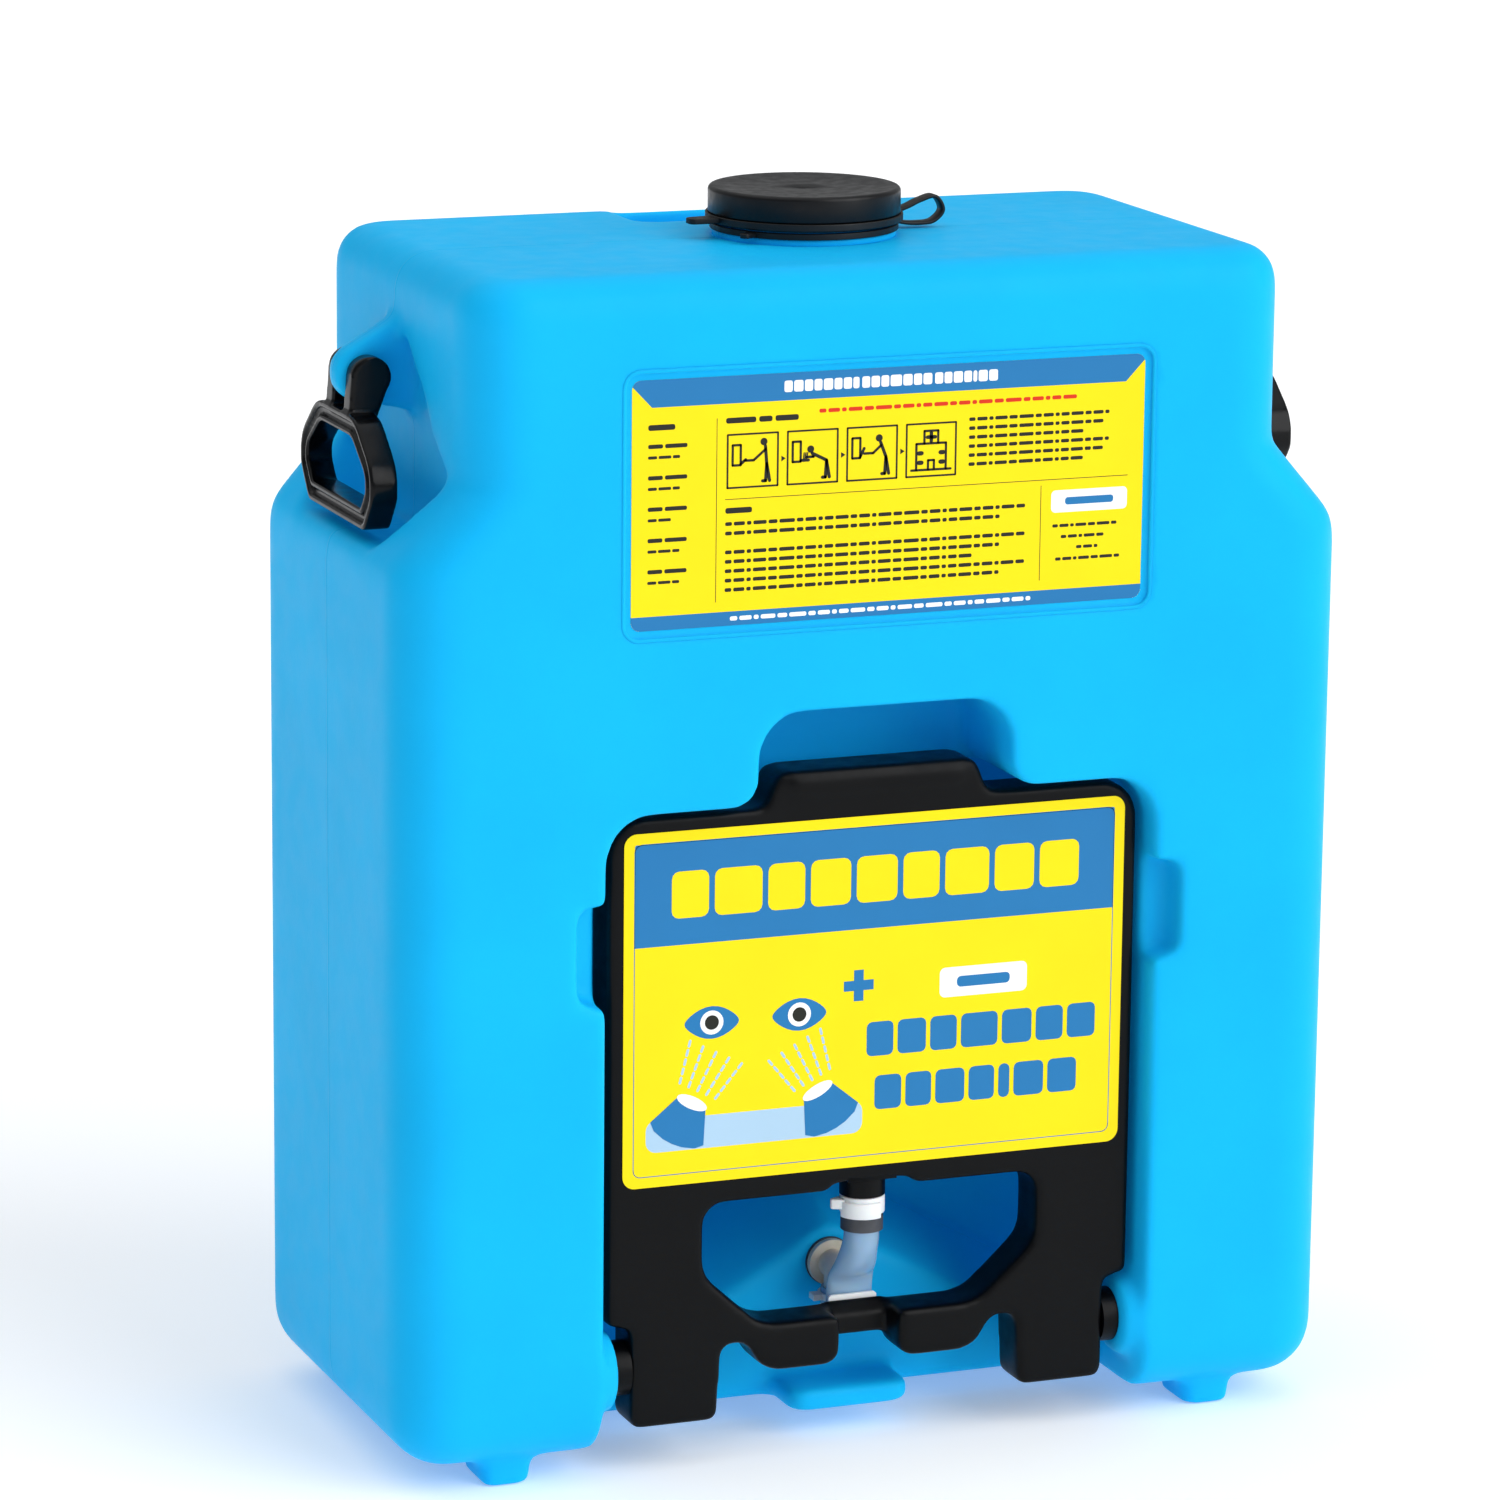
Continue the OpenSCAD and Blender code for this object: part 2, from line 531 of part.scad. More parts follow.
tank_shell();
filler_neck();
instruction_label();
hinge_pins();
handle_pins();
outlet_fitting();
outlet_seal();
outlet_nut();
outlet_hose_clamp();
neck_ring();
tether_strap();
cap_ring();
filler_cap();
cap_gasket();
tray_panel();
tray_label();
hinge_bushes();
pinch_plate();
pinch_screws();
inlet_barb();
tray_hose_clamp();
hose_collar();
hose();
manifold();
pipe_clips();
clip_screws();
spray_head(-head_x);  // left_spray_head
spray_head(head_x);  // right_spray_head
diffuser(-head_x);  // left_diffuser
diffuser(head_x);  // right_diffuser
dust_cap(-head_x);  // left_dust_cap
dust_cap(head_x);  // right_dust_cap
dust_cap_pins();
mirror([1, 0, 0]) handle();  // left_handle
handle();  // right_handle
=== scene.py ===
"""Looks of the portable gravity-fed eyewash station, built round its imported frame.

X runs to the right, Y from front to back and Z up, in metres. The tank, the tray
and the handles are remeshed from their CAD shapes so that their edges get the
soft fillets of moulded plastic. The labels are printed sheets in thin layers.
"""

import math

import bmesh
import bpy
import numpy as np
from mathutils import Matrix, Vector


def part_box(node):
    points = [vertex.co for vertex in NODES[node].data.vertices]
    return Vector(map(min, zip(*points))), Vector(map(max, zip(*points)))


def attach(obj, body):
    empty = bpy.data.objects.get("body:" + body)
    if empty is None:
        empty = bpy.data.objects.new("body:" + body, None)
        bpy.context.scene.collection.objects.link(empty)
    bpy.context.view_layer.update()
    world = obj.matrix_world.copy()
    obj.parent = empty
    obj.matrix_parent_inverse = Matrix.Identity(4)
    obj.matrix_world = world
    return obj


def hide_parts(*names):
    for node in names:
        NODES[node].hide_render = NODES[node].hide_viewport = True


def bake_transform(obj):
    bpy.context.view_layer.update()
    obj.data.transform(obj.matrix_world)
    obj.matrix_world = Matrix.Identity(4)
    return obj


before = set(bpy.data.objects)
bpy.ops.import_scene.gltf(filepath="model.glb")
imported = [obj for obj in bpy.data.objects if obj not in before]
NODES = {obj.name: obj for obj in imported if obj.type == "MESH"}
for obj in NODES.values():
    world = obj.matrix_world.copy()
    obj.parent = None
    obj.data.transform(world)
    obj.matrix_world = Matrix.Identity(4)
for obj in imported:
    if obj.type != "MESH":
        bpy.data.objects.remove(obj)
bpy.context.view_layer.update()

MM = 0.001

# ---------------------------------------------------------------- camera
CAMERA_YAW = math.radians(21.27)
CAMERA_PITCH = math.radians(12.86)
CAMERA_ROLL = math.radians(-0.58)
CAMERA_TARGET = Vector((-0.02806, 0, 0.3661))
CAMERA_DISTANCE = 3.54
CAMERA_LENS = 155.35
SENSOR_WIDTH = 36


def make_camera():
    cam = bpy.data.cameras.new("camera")
    cam.lens, cam.sensor_width = CAMERA_LENS, SENSOR_WIDTH
    obj = bpy.data.objects.new("camera", cam)
    bpy.context.scene.collection.objects.link(obj)
    cos_y, sin_y = math.cos(CAMERA_YAW), math.sin(CAMERA_YAW)
    cos_p, sin_p = math.cos(CAMERA_PITCH), math.sin(CAMERA_PITCH)
    back = Vector((-sin_y * cos_p, -cos_y * cos_p, sin_p))
    right = Vector((cos_y, -sin_y, 0))
    up = back.cross(right)
    cos_r, sin_r = math.cos(CAMERA_ROLL), math.sin(CAMERA_ROLL)
    right, up = right * cos_r - up * sin_r, right * sin_r + up * cos_r
    turn = Matrix((right, up, back)).transposed().to_4x4()
    obj.matrix_world = Matrix.Translation(CAMERA_TARGET + back * CAMERA_DISTANCE) @ turn
    cam.clip_start, cam.clip_end = 0.1, 30
    bpy.context.scene.camera = obj


# ---------------------------------------------------------------- materials
def linear(red, green, blue):
    """A display colour from 0 to 255 as the linear colour that the shader takes."""
    def one(c):
        c /= 255
        return c / 12.92 if c <= 0.04045 else ((c + 0.055) / 1.055) ** 2.4
    return (one(red), one(green), one(blue), 1)


class Shader:
    """A Principled material with short calls for what is added to it."""

    def __init__(self, name, colour, roughness, **sockets):
        self.material = bpy.data.materials.new(name)
        self.material.use_nodes = True
        self.nodes, self.links = self.material.node_tree.nodes, self.material.node_tree.links
        self.bsdf = self.nodes["Principled BSDF"]
        self.bsdf.inputs["Base Color"].default_value = colour
        self.bsdf.inputs["Roughness"].default_value = roughness
        for socket, value in sockets.items():
            self.bsdf.inputs[socket.replace("_", " ")].default_value = value
        self.coords = self.nodes.new("ShaderNodeTexCoord").outputs["Object"]

    def noise(self, scale, detail=3):
        tex = self.nodes.new("ShaderNodeTexNoise")
        tex.inputs["Scale"].default_value = scale
        tex.inputs["Detail"].default_value = detail
        self.links.new(self.coords, tex.inputs["Vector"])
        return tex.outputs["Fac"]

    def ramp(self, source, low, high, start=0.35, end=0.65):
        ramp = self.nodes.new("ShaderNodeValToRGB")
        ramp.color_ramp.elements[0].position, ramp.color_ramp.elements[0].color = start, low
        ramp.color_ramp.elements[1].position, ramp.color_ramp.elements[1].color = end, high
        self.links.new(source, ramp.inputs["Fac"])
        return ramp.outputs["Color"]

    def vary_colour(self, scale, low, high):
        self.links.new(self.ramp(self.noise(scale), low, high), self.bsdf.inputs["Base Color"])

    def vary_roughness(self, scale, low, high):
        grey = self.ramp(self.noise(scale, 4), (low,) * 3 + (1,), (high,) * 3 + (1,))
        self.links.new(grey, self.bsdf.inputs["Roughness"])

    def parting_line(self, width, height):
        """The bump of a mould's parting line, a fine ridge where Y is 0."""
        split = self.nodes.new("ShaderNodeSeparateXYZ")
        self.links.new(self.coords, split.inputs["Vector"])
        size = self.nodes.new("ShaderNodeMath")
        size.operation = "ABSOLUTE"
        self.links.new(split.outputs["Y"], size.inputs[0])
        fall = self.nodes.new("ShaderNodeMapRange")
        fall.interpolation_type = "SMOOTHSTEP"
        fall.inputs["From Min"].default_value, fall.inputs["From Max"].default_value = 0, width
        fall.inputs["To Min"].default_value, fall.inputs["To Max"].default_value = 1, 0
        self.links.new(size.outputs["Value"], fall.inputs["Value"])
        bump = self.nodes.new("ShaderNodeBump")
        bump.inputs["Strength"].default_value, bump.inputs["Distance"].default_value = 1, height
        self.links.new(fall.outputs["Result"], bump.inputs["Height"])
        return bump.outputs["Normal"]

    def bumps(self, *layers, previous=None):
        """Each layer is (scale, height in metres, detail); the layers are stacked."""
        for scale, height, detail in layers:
            bump = self.nodes.new("ShaderNodeBump")
            bump.inputs["Strength"].default_value = 1
            bump.inputs["Distance"].default_value = height
            self.links.new(self.noise(scale, detail), bump.inputs["Height"])
            if previous:
                self.links.new(previous, bump.inputs["Normal"])
            previous = bump.outputs["Normal"]
        self.links.new(previous, self.bsdf.inputs["Normal"])


def shade(colour, factor):
    return tuple(c * factor for c in colour[:3]) + (1,)


def tank_materials(made):
    """Rotomoulded polyethylene: bright, slightly translucent, with a fine orange peel, and a faint blue glow
    painted over all of it in place of bounce light.
    """
    blue = linear(20, 178, 236)
    # The faint blue emission is painted light: a glow that lifts the whole tank, shaded recesses too, in
    # place of bounce light.
    s = Shader("tank_polyethylene", blue, 0.42, IOR=1.13, Subsurface_Weight=0.3,
               Subsurface_Scale=0.012, Subsurface_Radius=(0.3, 1, 1),
               Emission_Color=(0, 0.3, 0.8, 1), Emission_Strength=0.1)
    s.vary_colour(9, shade(blue, 0.97), shade(blue, 1.03))
    s.vary_roughness(60, 0.38, 0.47)
    s.bumps((420, 0.00005, 3), (1500, 0.00002, 2), previous=s.parting_line(0.0011, 0.0005))
    made["tank"] = s.material


def black_materials(made):
    """Black plastics with a fine spark-eroded grain, and the tether's rubber."""
    black = linear(4, 5, 7)
    s = Shader("tray_plastic", black, 0.34, IOR=1.22)
    s.vary_colour(30, shade(black, 0.9), shade(black, 1.12))
    s.vary_roughness(90, 0.3, 0.42)
    s.bumps((1300, 0.00005, 4))
    made["tray"] = s.material
    s = Shader("handle_plastic", linear(3, 4, 6), 0.2, IOR=1.27)
    s.vary_roughness(120, 0.16, 0.26)
    s.bumps((900, 0.00002, 3))
    made["handle"] = s.material
    s = Shader("cap_plastic", linear(4, 5, 8), 0.34, IOR=1.33)
    s.vary_roughness(150, 0.3, 0.42)
    s.bumps((1400, 0.00004, 4))
    made["cap"] = s.material
    s = Shader("strap_rubber", linear(6, 7, 9), 0.5, IOR=1.4)
    s.vary_roughness(200, 0.42, 0.58)
    s.bumps((700, 0.00005, 3))
    made["strap"] = s.material


def ink_materials(made):
    """Printed vinyl: each ink is a plain colour with a faint sheen."""
    inks = {"yellow": (250, 223, 0), "blue": (34, 118, 176), "white": (250, 250, 250), "ink": (34, 36, 30),
            "red": (214, 52, 20), "pale": (172, 204, 228)}
    for name, rgb in inks.items():
        colour = linear(*rgb)
        s = Shader("print_" + name, colour, 0.42, IOR=1.3)
        s.vary_colour(25, shade(colour, 0.97), shade(colour, 1.0))
        s.vary_roughness(40, 0.38, 0.48)
        s.bumps((1800, 0.00001, 2))
        made[name] = s.material


def hose_material(made):
    """Clear silicone with a milky inside."""
    s = Shader("hose_silicone", linear(186, 222, 250), 0.16, Transmission_Weight=0.55, IOR=1.38,
               Subsurface_Weight=0.25, Subsurface_Scale=0.004, Coat_Weight=0.3, Coat_Roughness=0.1)
    s.vary_roughness(60, 0.12, 0.2)
    s.bumps((45, 0.00004, 1))
    made["hose"] = s.material


def fitting_materials(made):
    """The fittings, clamps, rubber, steel and dust caps."""
    s = Shader("fitting_ivory", linear(214, 208, 192), 0.35, Subsurface_Weight=0.2, Subsurface_Scale=0.003)
    s.vary_colour(80, linear(206, 199, 180), linear(222, 216, 202))
    s.bumps((600, 0.00005, 3))
    made["ivory"] = s.material
    s = Shader("clamp_white", linear(232, 234, 236), 0.32, Subsurface_Weight=0.15, Subsurface_Scale=0.003)
    s.vary_roughness(120, 0.28, 0.4)
    s.bumps((500, 0.00004, 3))
    made["white_part"] = s.material
    s = Shader("collar_rubber", linear(58, 60, 66), 0.55)
    s.vary_roughness(300, 0.48, 0.62)
    s.bumps((800, 0.00005, 3))
    made["rubber"] = s.material
    s = Shader("stainless_steel", linear(196, 197, 200), 0.28, Metallic=1.0)
    s.vary_roughness(260, 0.22, 0.36)
    s.bumps((1100, 0.00002, 3))
    made["steel"] = s.material
    amber = linear(240, 196, 20)
    s = Shader("dust_cap_plastic", amber, 0.38)
    s.vary_colour(60, shade(amber, 0.94), shade(amber, 1.04))
    s.bumps((900, 0.00004, 3))
    made["dust_cap"] = s.material


def floor_material(made):
    """A pale floor with a faint glow, so that it reads as white."""
    s = Shader("studio_floor", (0.95, 0.95, 0.955, 1), 0.8, Specular_IOR_Level=0.2,
               Emission_Color=(0.97, 0.985, 1, 1), Emission_Strength=0.22)
    s.vary_roughness(3, 0.75, 0.85)
    made["floor"] = s.material


def make_materials():
    made = {}
    for add in (tank_materials, black_materials, ink_materials, hose_material,
                fitting_materials, floor_material):
        add(made)
    return made


# ---------------------------------------------------------------- mesh tools
def add_object(name, verts, faces, material, smooth=True):
    mesh = bpy.data.meshes.new(name)
    mesh.from_pydata([tuple(v) for v in verts], [], faces)
    mesh.validate()
    mesh.materials.append(material)
    obj = bpy.data.objects.new(name, mesh)
    bpy.context.scene.collection.objects.link(obj)
    if smooth:
        shade_smooth(mesh)
    return obj


def shade_smooth(mesh):
    mesh.polygons.foreach_set("use_smooth", [True] * len(mesh.polygons))


def settle(obj):
    """Applies obj's modifiers to its mesh."""
    graph = bpy.context.evaluated_depsgraph_get()
    done = bpy.data.meshes.new_from_object(obj.evaluated_get(graph))
    obj.modifiers.clear()
    old, obj.data = obj.data, done
    bpy.data.meshes.remove(old)
    return obj


def read_points(mesh):
    points = np.zeros(len(mesh.vertices) * 3)
    mesh.vertices.foreach_get("co", points)
    return points.reshape(-1, 3)


def weigh(obj, hold):
    """Puts obj's points in a vertex group, with the weights of hold(points) in tenths."""
    weights = hold(read_points(obj.data))
    group = obj.vertex_groups.new(name="soften")
    levels = np.round(weights, 1)
    for level in np.unique(levels):
        if level > 0:
            group.add([int(i) for i in np.flatnonzero(levels == level)], float(level), "REPLACE")


def soften(node, name, material, voxel, rounds, keep=0.5, hold=None, press=None):
    """A smooth copy of a CAD node. hold(points) gives how much of the smoothing each point
    takes, press(points) moves points once they are smooth, and keep is the share of faces kept."""
    mesh = NODES[node].data.copy()
    obj = bpy.data.objects.new(name, mesh)
    bpy.context.scene.collection.objects.link(obj)
    remesh = obj.modifiers.new("remesh", "REMESH")
    remesh.mode, remesh.voxel_size = "VOXEL", voxel
    settle(obj)
    if hold:
        weigh(obj, hold)
    smooth = obj.modifiers.new("smooth", "SMOOTH")
    smooth.factor, smooth.iterations = 0.5, rounds
    if hold:
        smooth.vertex_group = "soften"
    settle(obj)
    if press:
        obj.data.vertices.foreach_set("co", press(read_points(obj.data)).ravel())
    if keep < 1:
        fewer = obj.modifiers.new("fewer", "DECIMATE")
        fewer.ratio = keep
        settle(obj)
    obj.vertex_groups.clear()
    mesh = obj.data
    mesh.materials.clear()
    mesh.materials.append(material)
    shade_smooth(mesh)
    return obj


def arc(cx, cy, radius, start, end, steps):
    """Points on an arc from start to end degrees."""
    turns = [math.radians(start + (end - start) * i / steps) for i in range(steps + 1)]
    return [(cx + radius * math.cos(t), cy + radius * math.sin(t)) for t in turns]


def lathe(name, profile, material, centre=(0, 0), sides=128):
    """A closed ring of profile points (radius, height) turned about the upright axis."""
    verts, faces, count = [], [], len(profile)
    for k in range(sides):
        a = 2 * math.pi * k / sides
        verts += [(centre[0] + r * math.cos(a), centre[1] + r * math.sin(a), z) for r, z in profile]
    for k in range(sides):
        m = (k + 1) % sides
        for i in range(count):
            j = (i + 1) % count
            faces.append((k * count + i, m * count + i, m * count + j, k * count + j))
    return add_object(name, verts, faces, material)


def rounded(width, height, radius, steps=8):
    """Outline of a rectangle with round corners, centred on the origin."""
    x, y = width / 2 - radius, height / 2 - radius
    return (arc(x, y, radius, 0, 90, steps) + arc(-x, y, radius, 90, 180, steps)
            + arc(-x, -y, radius, 180, 270, steps) + arc(x, -y, radius, 270, 360, steps))


def sweep(name, path, sections, material):
    """An open tube along a path in the YZ plane. Each section is a ring of (side, lift) offsets."""
    verts, faces, count = [], [], len(sections[0])
    for i, p in enumerate(path):
        before, after = path[max(i - 1, 0)], path[min(i + 1, len(path) - 1)]
        t = (Vector(after) - Vector(before)).normalized()
        side = Vector((1, 0, 0))
        lift = side.cross(t)
        verts += [Vector(p) + side * s + lift * h for s, h in sections[i]]
    for i in range(len(path) - 1):
        for k in range(count):
            m = (k + 1) % count
            faces.append((i * count + k, (i + 1) * count + k, (i + 1) * count + m, i * count + m))
    return add_object(name, verts, faces, material)


def fix_normals(obj):
    """Turns the faces of a closed mesh outwards."""
    bm = bmesh.new()
    bm.from_mesh(obj.data)
    bmesh.ops.recalc_face_normals(bm, faces=bm.faces)
    bm.to_mesh(obj.data)
    bm.free()
    return obj


def bevel(obj, width, segments=2, angle=35):
    edge = obj.modifiers.new("bevel", "BEVEL")
    edge.width, edge.segments = width, segments
    edge.limit_method, edge.angle_limit = "ANGLE", math.radians(angle)
    return obj


def join(name, objects):
    """One object from several; each keeps its own material."""
    verts, faces, slots, materials = [], [], [], []
    for obj in objects:
        base = len(verts)
        mesh = obj.data
        material = mesh.materials[0]
        if material not in materials:
            materials.append(material)
        verts += [tuple(v.co) for v in mesh.vertices]
        for p in mesh.polygons:
            faces.append([base + i for i in p.vertices])
            slots.append(materials.index(material))
        bpy.data.objects.remove(obj)
    mesh = bpy.data.meshes.new(name)
    mesh.from_pydata(verts, [], faces)
    for material in materials:
        mesh.materials.append(material)
    mesh.polygons.foreach_set("material_index", slots)
    obj = bpy.data.objects.new(name, mesh)
    bpy.context.scene.collection.objects.link(obj)
    return obj


def prism(name, outline, low, high, material):
    """An upright prism on an outline of (x, y) points."""
    count = len(outline)
    verts = [(x, y, low) for x, y in outline] + [(x, y, high) for x, y in outline]
    faces = [tuple(reversed(range(count))), tuple(range(count, 2 * count))]
    faces += [(i, (i + 1) % count, count + (i + 1) % count, count + i) for i in range(count)]
    return fix_normals(add_object(name, verts, faces, material, smooth=False))


# ---------------------------------------------------------------- tank
def near_box(points, low, high, reach):
    """1 inside a box, falling to 0 at reach metres outside it."""
    gap = np.maximum(np.maximum(np.array(low) - points, points - np.array(high)), 0)
    return np.clip(1 - np.linalg.norm(gap, axis=1) / reach, 0, 1)


# The shallow panel that the instruction label lies in, and the bead along its edge
LABEL_MARGIN = 0.0045
LABEL_CORNER = 0.009
LABEL_SINK = 0.0022
LABEL_SLOPE = 0.0022
BEAD_HALF_WIDTH = 0.0013
BEAD_HEIGHT = 0.001
TANK_QUICK, TANK_FINE = (0.004, 6), (0.0026, 20)
TRAY_QUICK, TRAY_FINE = (0.0028, 10), (0.0015, 36)
HANDLE_QUICK, HANDLE_FINE = (0.0016, 10), (0.0009, 10)


def press_label_panel(points):
    """Presses a shallow panel with a crisp rim for the label into the tank's front."""
    low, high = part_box("instruction_label")
    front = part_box("tank_shell")[0].y
    centre_x, centre_z = (low.x + high.x) / 2, (low.z + high.z) / 2
    half_x, half_z = (high.x - low.x) / 2 + LABEL_MARGIN, (high.z - low.z) / 2 + LABEL_MARGIN
    dx = np.abs(points[:, 0] - centre_x) - half_x + LABEL_CORNER
    dz = np.abs(points[:, 2] - centre_z) - half_z + LABEL_CORNER
    corner = np.hypot(np.maximum(dx, 0), np.maximum(dz, 0))
    outside = corner + np.minimum(np.maximum(dx, dz), 0) - LABEL_CORNER
    near = (points[:, 1] < front + 0.004) & (outside < 0.015)
    depth = LABEL_SINK * np.clip(0.5 - outside / LABEL_SLOPE, 0, 1)
    points[near, 1] = front + depth[near]
    return points


def panel_rim(material):
    """A fine round bead along the edge of the label panel."""
    low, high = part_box("instruction_label")
    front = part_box("tank_shell")[0].y
    grow = 2 * LABEL_MARGIN + 0.001
    path = rounded(high.x - low.x + grow, high.z - low.z + grow, LABEL_CORNER, 8)
    centre = Vector(((low.x + high.x) / 2, front + 0.0006, (low.z + high.z) / 2))
    verts, faces, sides, count = [], [], 8, len(path)
    for i, (x, z) in enumerate(path):
        before, after = path[i - 1], path[(i + 1) % count]
        along = Vector((after[0] - before[0], 0, after[1] - before[1])).normalized()
        out = Vector((along.z, 0, -along.x))
        for k in range(sides):
            a = 2 * math.pi * k / sides
            at = centre + Vector((x, 0, z)) + out * (BEAD_HALF_WIDTH * math.cos(a))
            verts.append(at + Vector((0, BEAD_HEIGHT * math.sin(a), 0)))
    for i in range(count):
        n = (i + 1) % count
        for k in range(sides):
            m = (k + 1) % sides
            faces.append((i * sides + k, n * sides + k, n * sides + m, i * sides + m))
    return fix_normals(add_object("panel_rim", verts, faces, material))


def make_tank(materials):
    low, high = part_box("instruction_label")
    margin = 0.007
    panel = ((low.x - margin, low.y - 0.006, low.z - margin),
             (high.x + margin, high.y + 0.003, high.z + margin))

    def hold(points):
        return 1 - near_box(points, *panel, 0.012) * 0.75

    voxel, rounds = TANK_FINE
    shell = soften("tank_shell", "tank_skin", materials["tank"], voxel, rounds, 0.45, hold, press_label_panel)
    tank = join("tank_body", [shell, panel_rim(materials["tank"])])
    shade_smooth(tank.data)
    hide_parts("tank_shell")
    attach(tank, "tank")


# ---------------------------------------------------------------- labels
# Millimetres between the layers of print, and the thickness of one mark
LAYER_STEP = 0.06
MARK_THICKNESS = 0.05
# Lengths of the blank bars in a line of print, in turn, relative to one another
WORD_SIZES = (3, 5, 2, 6, 4, 7, 3, 5, 2, 4, 6)


class Sheet:
    """A printed sheet that faces the front.

    Its marks are thin layers, measured in millimetres from its lower left corner.
    """

    def __init__(self, node, name, materials):
        low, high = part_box(node)
        self.name, self.materials, self.node = name, materials, node
        self.x, self.z, self.face = low.x, low.z, low.y
        self.width, self.height = (high.x - low.x) / MM, (high.z - low.z) / MM
        self.marks = []

    def outline(self, points, ink, level, thickness=MARK_THICKNESS):
        """A flat mark with a closed outline; higher levels lie on lower ones."""
        front = self.face - (LAYER_STEP * level + thickness) * MM
        rear = self.face - (LAYER_STEP * level - MARK_THICKNESS) * MM
        ring = [(self.x + px * MM, self.z + pz * MM) for px, pz in points]
        count = len(ring)
        verts = [(px, front, pz) for px, pz in ring] + [(px, rear, pz) for px, pz in ring]
        faces = [tuple(range(count)), tuple(range(2 * count - 1, count - 1, -1))]
        faces += [(i, i + count, (i + 1) % count + count, (i + 1) % count) for i in range(count)]
        self.marks.append(fix_normals(add_object("mark", verts, faces, self.materials[ink], smooth=False)))

    def bar(self, x0, z0, x1, z1, ink, level=2, radius=None, steps=3):
        width, height = x1 - x0, z1 - z0
        radius = min(width, height) * 0.3 if radius is None else radius
        shape = rounded(width, height, radius, steps)
        self.outline([((x0 + x1) / 2 + px, (z0 + z1) / 2 + pz) for px, pz in shape], ink, level)

    def disc(self, x, z, radius, ink, level=2, steps=24):
        self.outline(arc(x, z, radius, 0, 360 - 360 / steps, steps - 1), ink, level)

    def stroke(self, points, width, ink, level=3):
        """A line of short bars with round ends through the points."""
        for (ax, az), (bx, bz) in zip(points, points[1:]):
            angle = math.degrees(math.atan2(bz - az, bx - ax))
            r = width / 2
            far_end = arc(bx, bz, r, angle - 90, angle + 90, 4)
            near_end = arc(ax, az, r, angle + 90, angle + 270, 4)
            self.outline(far_end + near_end, ink, level)

    def words(self, x, z, width, height, ink, level=2, sizes=WORD_SIZES, gap=0.55):
        """A line of blank bars that stands for a line of print, at most width long."""
        at, k = x, 0
        while True:
            length = sizes[k % len(sizes)] * height * 0.62
            if at + length > x + width:
                break
            self.bar(at, z, at + length, z + height, ink, level, height * 0.35, 2)
            at, k = at + length + height * gap, k + 1

    def headline(self, x, z, letters, height, ink, level=3):
        """Plain upright blocks, one for each entry in letters, which gives their widths."""
        at = x
        for width in letters:
            self.bar(at, z, at + width, z + height, ink, level, height * 0.16, 3)
            at += width + height * 0.13

    def finish(self, body):
        sheet = join(self.name, self.marks)
        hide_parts(self.node)
        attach(sheet, body)


def label_sheet(node, name, materials, radius):
    sheet = Sheet(node, name, materials)
    sheet.outline([(sheet.width / 2 + px, sheet.height / 2 + pz)
                   for px, pz in rounded(sheet.width, sheet.height, radius)], "yellow", 0, 0.1)
    return sheet


def draw_clinic(draw):
    """A building with a cross on its upper block; draw takes points from 0 to 1 and a line width."""
    draw([(0.2, 0.12), (0.2, 0.62), (0.8, 0.62), (0.8, 0.12)])
    draw([(0.36, 0.62), (0.36, 0.86), (0.64, 0.86), (0.64, 0.62)])
    draw([(0.1, 0.12), (0.9, 0.12)])
    draw([(0.44, 0.12), (0.44, 0.3), (0.56, 0.3), (0.56, 0.12)])
    draw([(0.5, 0.66), (0.5, 0.82)], 2)
    draw([(0.42, 0.74), (0.58, 0.74)], 2)
    for row in (0.26, 0.44):
        for col in (0.28, 0.72):
            draw([(col - 0.03, row), (col + 0.03, row)], 2.4)


def pictogram(sheet, x, z, size, kind):
    """A boxed drawing of a plain figure at an eyewash, or of a clinic."""
    line = size * 0.035
    for a, b in (((0, 0), (1, 0)), ((1, 0), (1, 1)), ((1, 1), (0, 1)), ((0, 1), (0, 0))):
        sheet.stroke([(x + a[0] * size, z + a[1] * size), (x + b[0] * size, z + b[1] * size)], line, "ink")

    def draw(points, width=1.3):
        sheet.stroke([(x + px * size, z + pz * size) for px, pz in points], line * width, "ink")

    if kind == "clinic":
        draw_clinic(draw)
        return
    # The station on its shelf at the left, and a figure at the right
    draw([(0.1, 0.42), (0.1, 0.8), (0.26, 0.8), (0.26, 0.42), (0.1, 0.42)])
    lean = {"pull": 0.0, "bend": 0.26, "close": 0.08}[kind]
    head_x, head_z = 0.72 - lean, 0.84 - lean * 0.75
    sheet.disc(x + head_x * size, z + head_z * size, size * 0.07, "ink", 3, 16)
    draw([(head_x + 0.03, head_z - 0.08), (0.78, 0.42), (0.76, 0.1), (0.7, 0.1)], 1.8)
    draw([(0.78, 0.42), (0.84, 0.1)], 1.8)
    reach = 0.34 if kind != "bend" else 0.38
    draw([(head_x + 0.04, head_z - 0.14), (0.52, 0.5), (reach, 0.5)], 1.4)
    tray_tip = {"pull": (0.36, 0.52), "bend": (0.42, 0.44), "close": (0.34, 0.6)}[kind]
    draw([(0.26, 0.44), tray_tip], 1.6)
    if kind == "bend":
        for k in range(3):
            draw([(0.32 + 0.03 * k, 0.47), (0.33 + 0.035 * k, 0.58)], 0.7)


